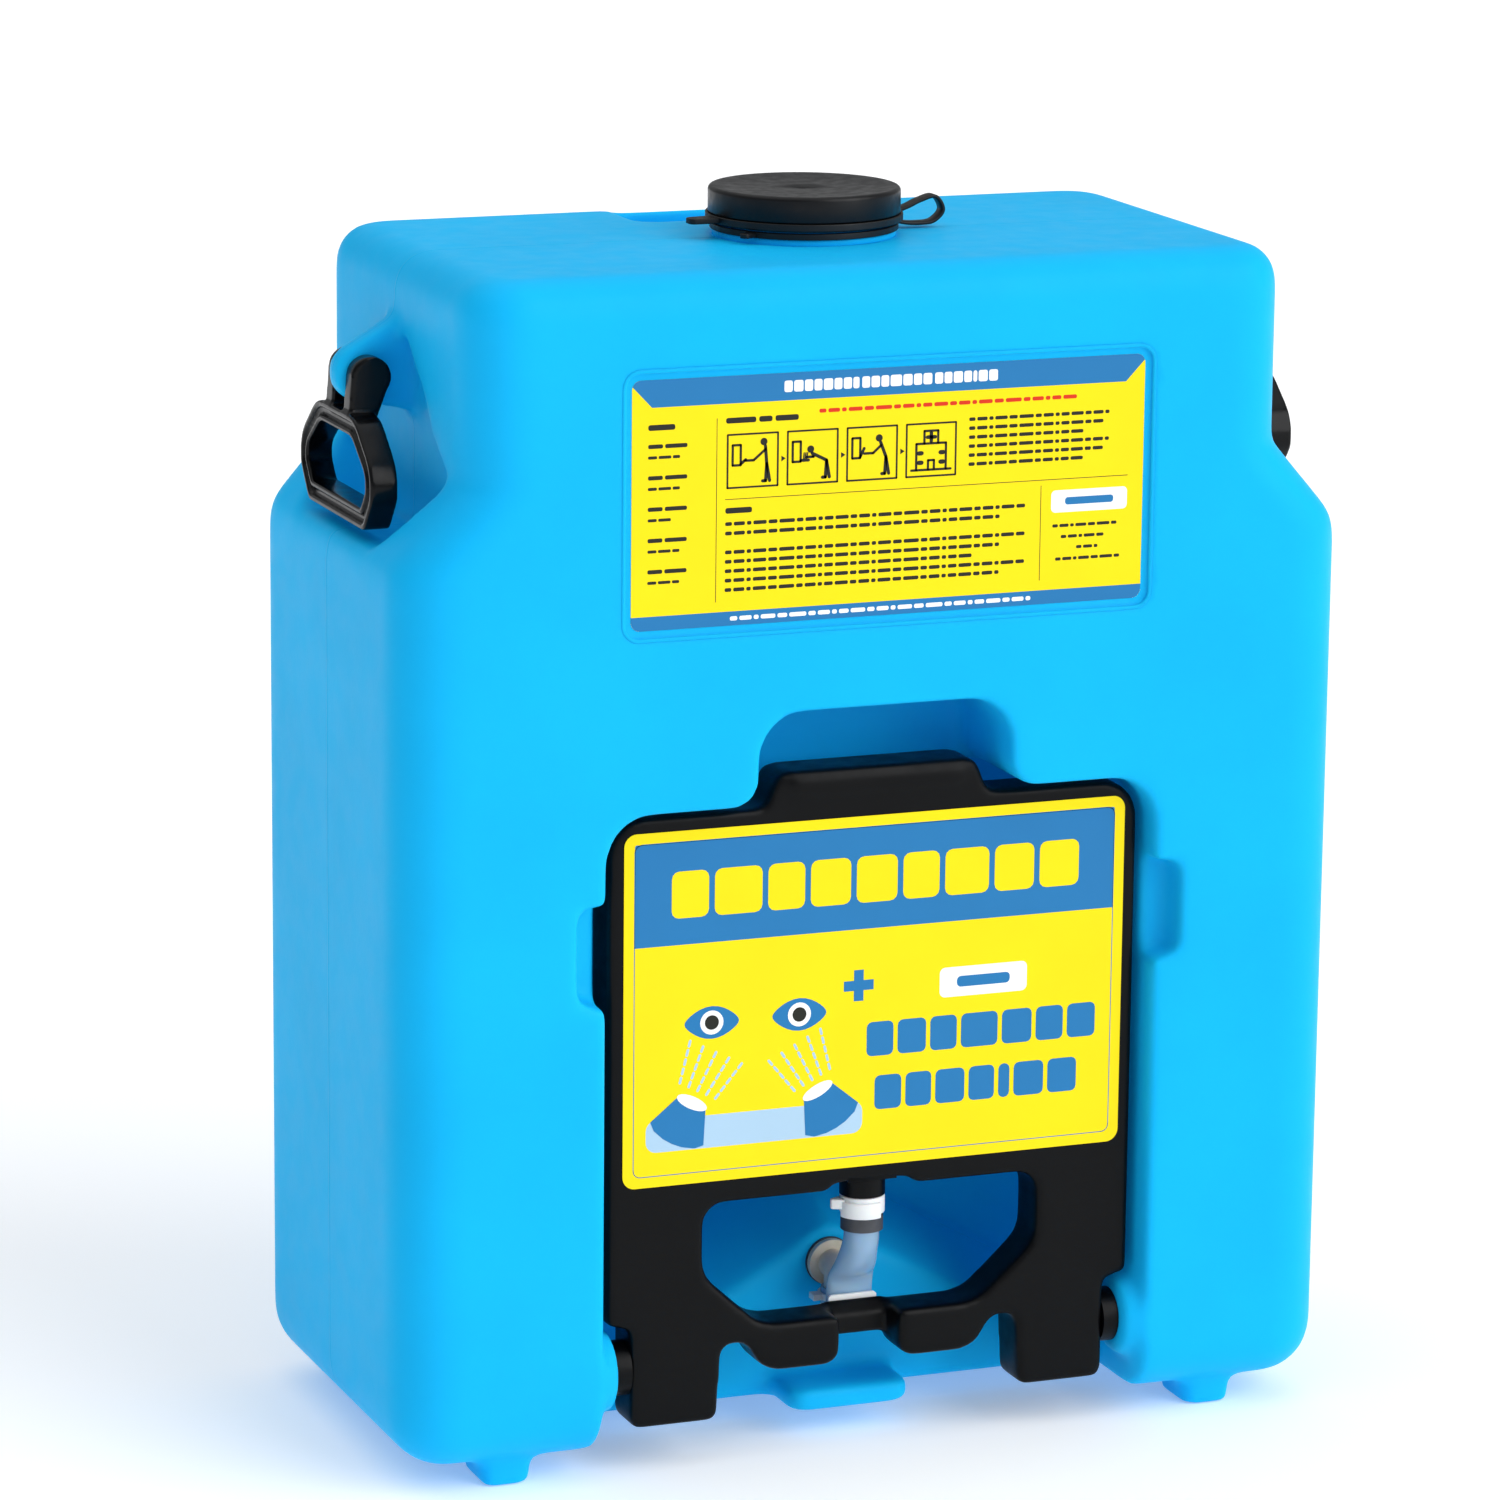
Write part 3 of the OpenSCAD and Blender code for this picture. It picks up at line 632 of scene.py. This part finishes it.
def header_and_footer(sheet):
    """A blue header with slanting ends and a title of blank blocks, and a blue footer."""
    w, h = sheet.width, sheet.height
    header, footer = 14.5, 7.5
    sheet.outline(arc(w - 5, h - 5, 5, 20, 90, 5) + arc(5, h - 5, 5, 90, 160, 5)
                  + [(11, h - header), (w - 11, h - header)], "blue", 1)
    sheet.outline(arc(5, 5, 5, 180, 270, 5) + arc(w - 5, 5, 5, 270, 360, 5)
                  + [(w, footer), (0, footer)], "blue", 1)
    title = (4.6, 5.2, 4.6, 4.4, 5.2, 4.4, 4.6, 3.4, 0, 4.4, 4.8, 4.4,
             6.4, 5.2, 4.6, 5, 0, 4.6, 4.4, 5.2, 4.4, 2.2, 5.2, 5)
    at = (w - sum(title) - 0.8 * len(title)) / 2
    for width in title:
        if width:
            sheet.bar(at, h - header + 4.4, at + width, h - header + 10.4, "white", 2, 1, 2)
        at += width + 0.8
    sheet.words(w * 0.19, 2.6, w * 0.62, 2.2, "white", 2)


def left_column(sheet):
    """A bold heading, then pairs of a bold and a fine line."""
    h = sheet.height
    left = 9
    sheet.words(left, h - 26.5, 28, 3, "ink", 2, (8, 9))
    for k in range(5):
        top = h - 36 - 16.5 * k
        sheet.words(left, top, 27 - 3 * (k % 2), 2.2, "ink", 2, (6, 9, 5))
        sheet.words(left, top - 5.5, 20 - 2 * (k % 3), 1.6, "ink", 2, (5, 7, 4))
    divider = 47
    sheet.stroke([(divider, 13), (divider, h - 22)], 0.35, "ink", 2)


def directions(sheet):
    """A heading, a warning line, four drawings, and the lines of print beside and below them."""
    w, h = sheet.width, sheet.height
    sheet.words(52, h - 25, 42, 3, "ink", 2, (9, 4, 7))
    sheet.words(104, h - 22, 150, 2.1, "red", 2)
    for k, kind in enumerate(("pull", "bend", "close", "clinic")):
        pictogram(sheet, 53 + 33.5 * k, h - 59, 28, kind)
        if k < 3:
            x = 53 + 33.5 * k + 30
            sheet.outline([(x, h - 46.5), (x, h - 43.5), (x + 2.4, h - 45)], "ink", 3)
    for k in range(6):
        sheet.words(189, h - 31 - 4.8 * k, 88 - 9 * (k % 3), 1.9, "ink", 2)
    sheet.stroke([(52, h - 65), (w - 9, h - 65)], 0.35, "ink", 2)
    sheet.words(52, h - 72.5, 26, 3, "ink", 2, (8, 9))
    for k in range(8):
        if k != 2:
            sheet.words(52, h - 79 - 5 * k, 172 - 14 * (k % 3), 2, "ink", 2)
    sheet.stroke([(231, 13), (231, h - 68)], 0.35, "ink", 2)


def blank_plate(sheet):
    """A blank white plate with a blue bar, and the lines of print under it."""
    w, h = sheet.width, sheet.height
    sheet.bar(237, h - 83, w - 9, h - 71, "white", 2, 2.5, 5)
    sheet.bar(245, h - 79, w - 17, h - 75, "blue", 3, 1.6, 4)
    for k, cut in enumerate((0, 5, 14, 2)):
        sheet.words(238 + cut, h - 91 - 6 * k, 42 - 2 * cut, 1.7, "ink", 2)


def instruction_label(materials):
    sheet = label_sheet("instruction_label", "instruction_sheet", materials, 5)
    header_and_footer(sheet)
    left_column(sheet)
    directions(sheet)
    blank_plate(sheet)
    sheet.finish("tank")


def tray_label(materials):
    sheet = label_sheet("tray_label", "tray_sheet", materials, 7)
    w, h = sheet.width, sheet.height
    inset = 6
    # Blue band with a headline of plain blocks, and a thin frame line
    band = 62
    sheet.outline([(inset, h - band), (w - inset, h - band)] + arc(w - inset - 1, h - inset - 1, 1, 0, 90, 3)
                  + arc(inset + 1, h - inset - 1, 1, 90, 180, 3), "blue", 1)
    letters = (21, 27, 21, 23, 23.5, 21, 25.5, 23, 23)
    sheet.headline((w - sum(letters) - 3.3 * (len(letters) - 1)) / 2, h - 47.5, letters, 25.5, "yellow", 2)
    frame_line = rounded(w - 2 * inset, h - 2 * inset, 4, 5)
    corners = [(w / 2 + px, h / 2 + pz) for px, pz in frame_line]
    sheet.stroke(corners + corners[:1], 0.5, "blue", 1)
    # First-aid cross, blank plate, two rows of blocks
    x, z, long, wide = 134, 101, 8.6, 2.8
    cross = [(x - wide, z - long), (x + wide, z - long), (x + wide, z - wide), (x + long, z - wide),
             (x + long, z + wide), (x + wide, z + wide), (x + wide, z + long), (x - wide, z + long),
             (x - wide, z + wide), (x - long, z + wide), (x - long, z - wide), (x - wide, z - wide)]
    sheet.outline(cross, "blue", 2)
    sheet.bar(181, 90, 232, 106.5, "white", 2, 3.2, 5)
    sheet.bar(191, 95.2, 222, 101.2, "blue", 3, 2.4, 4)
    for at, row, letters in ((139, 61, (15.5, 16.5, 15.5, 21.5, 17.5, 16, 16.5)),
                             (144, 31, (15.5, 15, 17, 15, 6.5, 17.5, 17))):
        sheet.headline(at, row, letters, 19, "blue", 2)
    eyewash_symbol(sheet)
    sheet.finish("tray")


def eyewash_symbol(sheet):
    """Two plain eyes over the sprays of two cups on a basin."""
    height = 88
    for x in (50, 100):
        lens = [(x + 15.5 * math.cos(t), height + 9 * math.sin(t) * (1 - 0.35 * math.cos(t) ** 2))
                for t in (2 * math.pi * k / 28 for k in range(28))]
        sheet.outline(lens, "blue", 2)
        sheet.disc(x, height, 6.6, "white", 3)
        sheet.disc(x, height, 4, "ink", 4)
    sheet.bar(13, 19, 137, 37, "pale", 1, 6, 6)
    for x, lean in ((32, 27), (118, -27)):
        turn = math.radians(90 - lean)
        along, across = Vector((math.cos(turn), math.sin(turn))), Vector((math.sin(turn), -math.cos(turn)))

        def spot(u, v, base=Vector((x, 31))):
            return tuple(base + across * u + along * v)

        cup = [spot(-17, -3), spot(-13, -6.5), spot(-6, -8.5), spot(0, -9), spot(6, -8.5), spot(13, -6.5),
               spot(17, -3), spot(9, 15), spot(-9, 15)]
        sheet.outline(cup, "blue", 3)
        turns = [2 * math.pi * k / 20 for k in range(20)]
        rim = [spot(9.4 * math.cos(t), 15.5 + 3.4 * math.sin(t)) for t in turns]
        sheet.outline(rim, "white", 4)
        for ray in range(5):
            angle = (ray - 2) * 0.115
            for k in range(5):
                near, far = 22.5 + 5 * k, 25.3 + 5 * k
                ends = [spot((ray - 2) * 3.1 + math.sin(angle) * r, r) for r in (near, far)]
                sheet.stroke(ends, 1.5, "pale", 2)


# ---------------------------------------------------------------- tray and handles
def hold_tray(points):
    """Full smoothing, but little at the hinge bosses and the saddle, which keep their edges."""
    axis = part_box("hinge_pins")
    y = (axis[0].y + axis[1].y) / 2
    z = (axis[0].z + axis[1].z) / 2
    reach = np.hypot(points[:, 1] - y, points[:, 2] - z)
    across, up = np.abs(points[:, 0]), points[:, 2]
    boss = (reach < 0.012) & (across > 0.1)
    low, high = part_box("pinch_plate")
    saddle = (across < high.x + 0.002) & (up > low.z - 0.004) & (up < high.z + 0.004)
    return np.where(boss, 0.1, np.where(saddle, 0.2, 1.0))


def inlet_web(material):
    """The tray's skin in front of the inlet channel, which is too thin to come through the remesh."""
    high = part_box("inlet_barb")[1]
    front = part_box("tray_label")[1].y
    half, near, far = high.x + 1.5 * MM, front + 0.3 * MM, front + 2.2 * MM
    web = [(-half, near), (half, near), (half, far), (-half, far)]
    return prism("inlet_web", web, high.z - 1.8 * MM, high.z + 29 * MM, material)


def make_tray(materials):
    voxel, rounds = TRAY_FINE
    shell = soften("tray_panel", "tray_skin", materials["tray"], voxel, rounds, 0.45, hold_tray)
    tray = join("tray_body", [shell, inlet_web(materials["tray"])])
    shade_smooth(tray.data)
    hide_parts("tray_panel")
    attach(tray, "tray")


def make_handles(materials):
    for side in ("left", "right"):
        node = side + "_handle"
        voxel, rounds = HANDLE_FINE
        handle = soften(node, side + "_grip_ring", materials["handle"], voxel, rounds, 0.5)
        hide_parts(node)
        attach(handle, side + "_grip")


# ---------------------------------------------------------------- cap and tether
NECK_BORE = 0.041
NECK_OUTER = 0.0442
THREAD_TURNS = 1.6


def neck_tube(material):
    """The flange and the tube of the neck."""
    low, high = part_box("filler_neck")
    tank_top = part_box("tank_shell")[1].z
    flange, bore, outer = (high.x - low.x) / 2, NECK_BORE, NECK_OUTER
    profile = (arc(flange - 0.9 * MM, tank_top + 1.9 * MM, 0.9 * MM, 0, 90, 4)
               + [(outer + 1.2 * MM, tank_top + 2.8 * MM), (outer + 0.3 * MM, tank_top + 3.2 * MM)]
               + [(outer, tank_top + 4 * MM)]
               + arc(outer - 0.7 * MM, high.z - 0.7 * MM, 0.7 * MM, 0, 90, 3)
               + arc(bore + 0.7 * MM, high.z - 0.7 * MM, 0.7 * MM, 90, 180, 3)
               + [(bore, low.z), (flange - 5 * MM, low.z)]
               + [(flange - 5 * MM, tank_top - 0.3 * MM), (flange, tank_top - 0.3 * MM)])
    return fix_normals(lathe("neck_tube", profile, material, sides=128))


def neck_thread(material):
    """A coarse ridge that winds up the neck and fades out at both ends."""
    tank_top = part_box("tank_shell")[1].z
    verts, faces = [], []
    steps, pitch, base = 200, 6 * MM, tank_top + 7.5 * MM
    outer = NECK_OUTER
    root = outer - 0.4 * MM
    for k in range(steps + 1):
        turn = 2 * math.pi * THREAD_TURNS * k / steps
        fade = min(1, 12 * k / steps, 12 * (steps - k) / steps)
        crest = outer + 1.25 * MM * fade
        z = base + pitch * turn / (2 * math.pi)
        for r, dz in ((root, -1.4 * MM), (crest, -0.35 * MM), (crest, 0.35 * MM), (root, 1.4 * MM)):
            verts.append((r * math.cos(turn), r * math.sin(turn), z + dz))
    for k in range(steps):
        for i in range(4):
            j = (i + 1) % 4
            faces.append((4 * k + i, 4 * k + j, 4 * k + 4 + j, 4 * k + 4 + i))
    faces += [(0, 1, 2, 3), (4 * steps + 3, 4 * steps + 2, 4 * steps + 1, 4 * steps)]
    return fix_normals(add_object("neck_thread", verts, faces, material))


def make_neck(materials):
    """The neck with a flange and a little over a turn and a half of a coarse thread."""
    neck = join("filler_neck_body", [neck_tube(materials["tank"]), neck_thread(materials["tank"])])
    shade_smooth(neck.data)
    bevel(neck, 0.1 * MM, 1, 60)
    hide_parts("filler_neck")
    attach(neck, "tank")


CAP_SKIRT_BORE = 0.0487


def make_cap(materials):
    low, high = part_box("filler_cap")
    radius, top, base = (high.x - low.x) / 2, high.z, low.z
    step_z = base + 5 * MM
    profile = [(0.0001, top - 2.2 * MM), (0.02, top - 2.1 * MM), (0.036, top - 1.6 * MM)]
    profile += [(radius - 7 * MM, top - 0.5 * MM)]
    profile += arc(radius - 2.4 * MM, top - 2.4 * MM, 2.4 * MM, 90, 0, 6)
    profile += arc(radius - 0.5 * MM, step_z + 0.5 * MM, 0.5 * MM, 0, -90, 3)
    profile += [(radius - 2 * MM, step_z), (radius - 2 * MM, base + 0.9 * MM)]
    profile += [(radius - 1.5 * MM, base + 0.3 * MM), (radius - 2 * MM, base)]
    profile += [(CAP_SKIRT_BORE, base), (CAP_SKIRT_BORE, top - 4.5 * MM), (0.0001, top - 4.5 * MM)]
    cap = fix_normals(lathe("cap_shell", profile, materials["cap"], sides=160))
    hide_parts("filler_cap")
    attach(cap, "cap")


def ring_band(name, node, inner, outer, tab_angle, tab_length, tab_width, material):
    """A flat ring with soft edges and a tab that points out at tab_angle."""
    low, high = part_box(node)
    edge = 0.5 * MM
    base, top = low.z, high.z
    profile = (arc(outer - edge, top - edge, edge, 90, 0, 3) + arc(outer - edge, base + edge, edge, 0, -90, 3)
               + [(inner, base), (inner, top)])
    ring = fix_normals(lathe(name + "_ring", profile, material, sides=128))
    half = tab_width / 2
    reach = outer + tab_length
    root, tip = outer - 1.5 * MM, half * 0.7
    outline = ([(root, -half * 1.25)] + arc(reach - tip, -half * 0.3, tip, -90, 0, 4)
               + arc(reach - tip, half * 0.3, tip, 0, 90, 4) + [(root, half * 1.25)])
    count = len(outline)
    turn = Matrix.Rotation(math.radians(tab_angle), 3, "Z")
    thin = 0.4 * MM
    verts = [turn @ Vector((x, y, z)) for z in (top - thin, base + thin) for x, y in outline]
    faces = [tuple(range(count)), tuple(range(2 * count - 1, count - 1, -1))]
    faces += [(i, i + count, (i + 1) % count + count, (i + 1) % count) for i in range(count)]
    tab = fix_normals(add_object(name + "_tab", verts, faces, material, smooth=False))
    bevel(tab, 0.5 * MM)
    settle(tab)
    made = join(name, [ring, tab])
    shade_smooth(made.data)
    made.modifiers.new("normals", "WEIGHTED_NORMAL")
    settle(made)
    return made


def make_tether(materials):
    rubber = materials["strap"]
    upper = ring_band("cap_band", "cap_ring", 0.0504, 0.0534, 184, 0.0155, 0.0095, rubber)
    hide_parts("cap_ring")
    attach(upper, "cap_carrier")
    lower = ring_band("neck_band", "neck_ring", 0.0474, 0.051, 215, 0.008, 0.0055, rubber)
    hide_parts("neck_ring")
    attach(lower, "tank")
    low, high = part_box("tether_strap")
    strap = strap_band(low, high, rubber)
    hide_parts("tether_strap")
    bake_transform(strap)


# Corners of the strap's section, in parts of its width and of its half thickness
STRAP_SECTION = ((-0.5, -0.6), (-0.46, -1), (0.46, -1), (0.5, -0.6),
                 (0.5, 0.6), (0.46, 1), (-0.46, 1), (-0.5, 0.6))
STRAP_HALF_THICKNESS = 0.9 * MM


def strap_band(low, high, material):
    """A flat band that leaves the neck ring, loops out to the right and returns to the cap ring."""
    neck_low, neck_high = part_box("neck_ring")
    cap_low, cap_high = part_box("cap_ring")
    start_z, end_z = (neck_low.z + neck_high.z) / 2, (cap_low.z + cap_high.z) / 2
    reach, width = high.x, (high.y - low.y)
    control = [(0.0505, start_z), (0.0585, start_z - 1.6 * MM), (0.0665, low.z + 1.6 * MM),
               (reach - 6 * MM, low.z + 2.6 * MM), (reach - 0.6 * MM, low.z + 8.5 * MM),
               (reach - 5 * MM, high.z - 0.9 * MM), (0.067, high.z - 2.6 * MM),
               (0.0595, end_z + 2.2 * MM), (0.0528, end_z)]
    points = smooth_path([(x, 0, z) for x, z in control], 8)
    verts, faces, count = [], [], len(STRAP_SECTION)
    for i, p in enumerate(points):
        before, after = points[max(i - 1, 0)], points[min(i + 1, len(points) - 1)]
        t = (Vector(after) - Vector(before)).normalized()
        out = Vector((t.z, 0, -t.x))
        for dy, dn in STRAP_SECTION:
            verts.append(Vector(p) + Vector((0, dy * width, 0)) + out * dn * STRAP_HALF_THICKNESS)
    for i in range(len(points) - 1):
        for k in range(count):
            m = (k + 1) % count
            faces.append((i * count + k, i * count + m, (i + 1) * count + m, (i + 1) * count + k))
    faces.append(tuple(range(count)))
    faces.append(tuple(range(len(points) * count - 1, len(points) * count - count - 1, -1)))
    return fix_normals(add_object("tether_band", verts, faces, material))


def smooth_path(points, steps):
    """A Catmull-Rom curve through the points, with steps pieces between two of them."""
    p = [Vector(q) for q in points]
    p = [2 * p[0] - p[1]] + p + [2 * p[-1] - p[-2]]
    made = []
    for i in range(1, len(p) - 2):
        for k in range(steps):
            t = k / steps
            a, b, c, d = p[i - 1], p[i], p[i + 1], p[i + 2]
            curve = 2 * b + (c - a) * t + (2 * a - 5 * b + 4 * c - d) * t * t
            made.append(0.5 * (curve + (3 * b - a - 3 * c + d) * t ** 3))
    return made + [p[-2]]


# ---------------------------------------------------------------- hose
# (y, z, half thickness, half width) in millimetres, from the tray inlet round
# the fold and up to the tank outlet: the route of the CAD hose.
HOSE_ROUTE = [
    (-102, 140, 9.7, 9.7), (-102, 119, 9.7, 9.7), (-99.5, 109, 9.3, 10), (-94, 98.5, 7, 11.8),
    (-87.2, 90, 4, 13.2), (-84.9, 81.5, 3.4, 13.5), (-84.8, 72, 3.4, 13.5), (-84.1, 67, 3.6, 13.3),
    (-81.4, 63, 4, 13), (-77.2, 61.5, 4.3, 12.6), (-73.1, 63.8, 5.2, 12), (-70.4, 67.6, 7.8, 10.8),
    (-69.5, 71.4, 9.7, 9.7), (-69.5, 77.4, 9.7, 9.7),
]
HOSE_WALL = 2.6
# The row where the tray-side length ends and the tank-side one begins
HOSE_SPLIT = 9
HOSE_STEPS = 6
HOSE_SIDES = 32


def hose_piece(name, rows, material):
    """A hollow length of hose: an outer skin, an inner skin and two end rings."""
    centre = smooth_path([(0, y * MM, z * MM) for y, z, a, b in rows], HOSE_STEPS)
    sizes = smooth_path([(a, b, 0) for y, z, a, b in rows], HOSE_STEPS)
    sides, rings = HOSE_SIDES, []
    for wall in (0, HOSE_WALL):
        for size in sizes:
            half_t, half_w = max(size.x - wall, 0.6), max(size.y - wall, 0.6)
            rings.append([((half_w * math.sin(t)) * MM, (half_t * math.cos(t)) * MM)
                          for t in (2 * math.pi * k / sides for k in range(sides))])
    outer = sweep(name + "_out", centre, rings[:len(centre)], material)
    inner = sweep(name + "_in", centre, rings[len(centre):], material)
    verts = [v.co.copy() for v in outer.data.vertices] + [v.co.copy() for v in inner.data.vertices]
    base = len(outer.data.vertices)
    faces = [tuple(p.vertices) for p in outer.data.polygons]
    faces += [tuple(base + i for i in reversed(p.vertices)) for p in inner.data.polygons]
    for first in (0, (len(centre) - 1) * sides):
        for k in range(sides):
            here, after = first + k, first + (k + 1) % sides
            faces.append((here, after, base + after, base + here))
    for o in (outer, inner):
        bpy.data.objects.remove(o)
    return fix_normals(add_object(name, verts, faces, material))


def make_hose(materials):
    moving = hose_piece("hose_tray_side", HOSE_ROUTE[:HOSE_SPLIT + 1], materials["hose"])
    fixed = hose_piece("hose_tank_side", HOSE_ROUTE[HOSE_SPLIT:], materials["hose"])
    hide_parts("hose")
    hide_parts("hose")
    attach(fixed, "tank")
    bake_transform(moving)


def make_hose_clamp(materials):
    """The snap clamp under the tray's barb: a band, a thick jaw round its front and a pointed ear."""
    low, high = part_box("tray_hose_clamp")
    white = materials["white_part"]
    y, radius, bore = (low.y + high.y) / 2, (high.y - low.y) / 2, 9.85 * MM
    band_radius = radius - 1.6 * MM
    profile = (arc(band_radius - MM, high.z - MM, MM, 0, 90, 4) + [(bore, high.z), (bore, low.z + 1.5 * MM)]
               + arc(band_radius - MM, low.z + 2.5 * MM, MM, 270, 360, 4))
    band = fix_normals(lathe("clamp_band", profile, white, (0, y), sides=72))
    jaw_front = arc(0, y, radius, 190, 298, 16)
    jaw_back = arc(0, y, bore + MM, 298, 190, 16)
    jaw = prism("clamp_jaw", jaw_front + jaw_back, low.z, high.z - 2.5 * MM, white)
    settle(bevel(jaw, 0.8 * MM, 3))
    ear_root = 0.85 * radius
    ear = [(-ear_root, y + 4.5 * MM), (low.x, y + 0.8 * MM), (low.x, y - 1.6 * MM), (-ear_root, y - 5 * MM)]
    ear = settle(bevel(prism("clamp_ear", ear, high.z - 7 * MM, high.z - 1.5 * MM, white), 0.6 * MM, 3))
    clamp = join("barb_clamp", [band, jaw, ear])
    shade_smooth(clamp.data)
    split = clamp.modifiers.new("edges", "EDGE_SPLIT")
    split.split_angle = math.radians(40)
    settle(clamp)
    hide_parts("tray_hose_clamp")
    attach(clamp, "tray")


# ---------------------------------------------------------------- carried-over CAD parts
KEPT = {
    "hinge_pins": "steel", "handle_pins": "steel", "outlet_fitting": "ivory", "outlet_seal": "rubber",
    "outlet_nut": "ivory", "outlet_hose_clamp": "white_part", "cap_gasket": "rubber", "hinge_bushes": "tray",
    "pinch_plate": "white_part", "pinch_screws": "steel", "inlet_barb": "tray",
    "hose_collar": "rubber", "manifold": "tray", "pipe_clips": "steel", "clip_screws": "steel",
    "left_spray_head": "tray", "right_spray_head": "tray", "left_diffuser": "white_part",
    "right_diffuser": "white_part", "left_dust_cap": "dust_cap", "right_dust_cap": "dust_cap",
    "dust_cap_pins": "steel",
}


def dress_kept_nodes(materials):
    for node, kind in KEPT.items():
        obj = NODES[node]
        obj.data.materials.clear()
        obj.data.materials.append(materials[kind])
        bevel(obj, 0.4 * MM, 2, 40)


# ---------------------------------------------------------------- studio
def sun(name, place, strength, angle):
    """A soft far light that shines from place towards the origin."""
    light = bpy.data.lights.new(name, "SUN")
    light.energy, light.angle = strength, math.radians(angle)
    lamp = bpy.data.objects.new(name, light)
    bpy.context.scene.collection.objects.link(lamp)
    lamp.rotation_euler = Vector(place).to_track_quat("Z", "Y").to_euler()


FLOOR_HALF = 30
WORLD_COLOUR = (0.97, 0.985, 1, 1)
WORLD_STRENGTH = 0.4


def make_studio(materials):
    size = FLOOR_HALF
    floor = add_object("floor", [(-size, -size, 0), (size, -size, 0), (size, size, 0), (-size, size, 0)],
                       [(0, 1, 2, 3)], materials["floor"], smooth=False)
    world = bpy.data.worlds.new("studio")
    world.use_nodes = True
    background = world.node_tree.nodes["Background"]
    background.inputs["Color"].default_value = WORLD_COLOUR
    background.inputs["Strength"].default_value = WORLD_STRENGTH
    bpy.context.scene.world = world
    sun("key", (0.65, -0.85, 0.58), 2.05, 55)
    sun("top", (-0.1, 0.1, 1), 0.95, 80)
    bpy.context.scene.view_settings.view_transform = "Standard"


make_camera()
looks = make_materials()
make_tank(looks)
make_tray(looks)
make_handles(looks)
make_neck(looks)
make_cap(looks)
make_tether(looks)
make_hose(looks)
make_hose_clamp(looks)
instruction_label(looks)
tray_label(looks)
dress_kept_nodes(looks)
make_studio(looks)
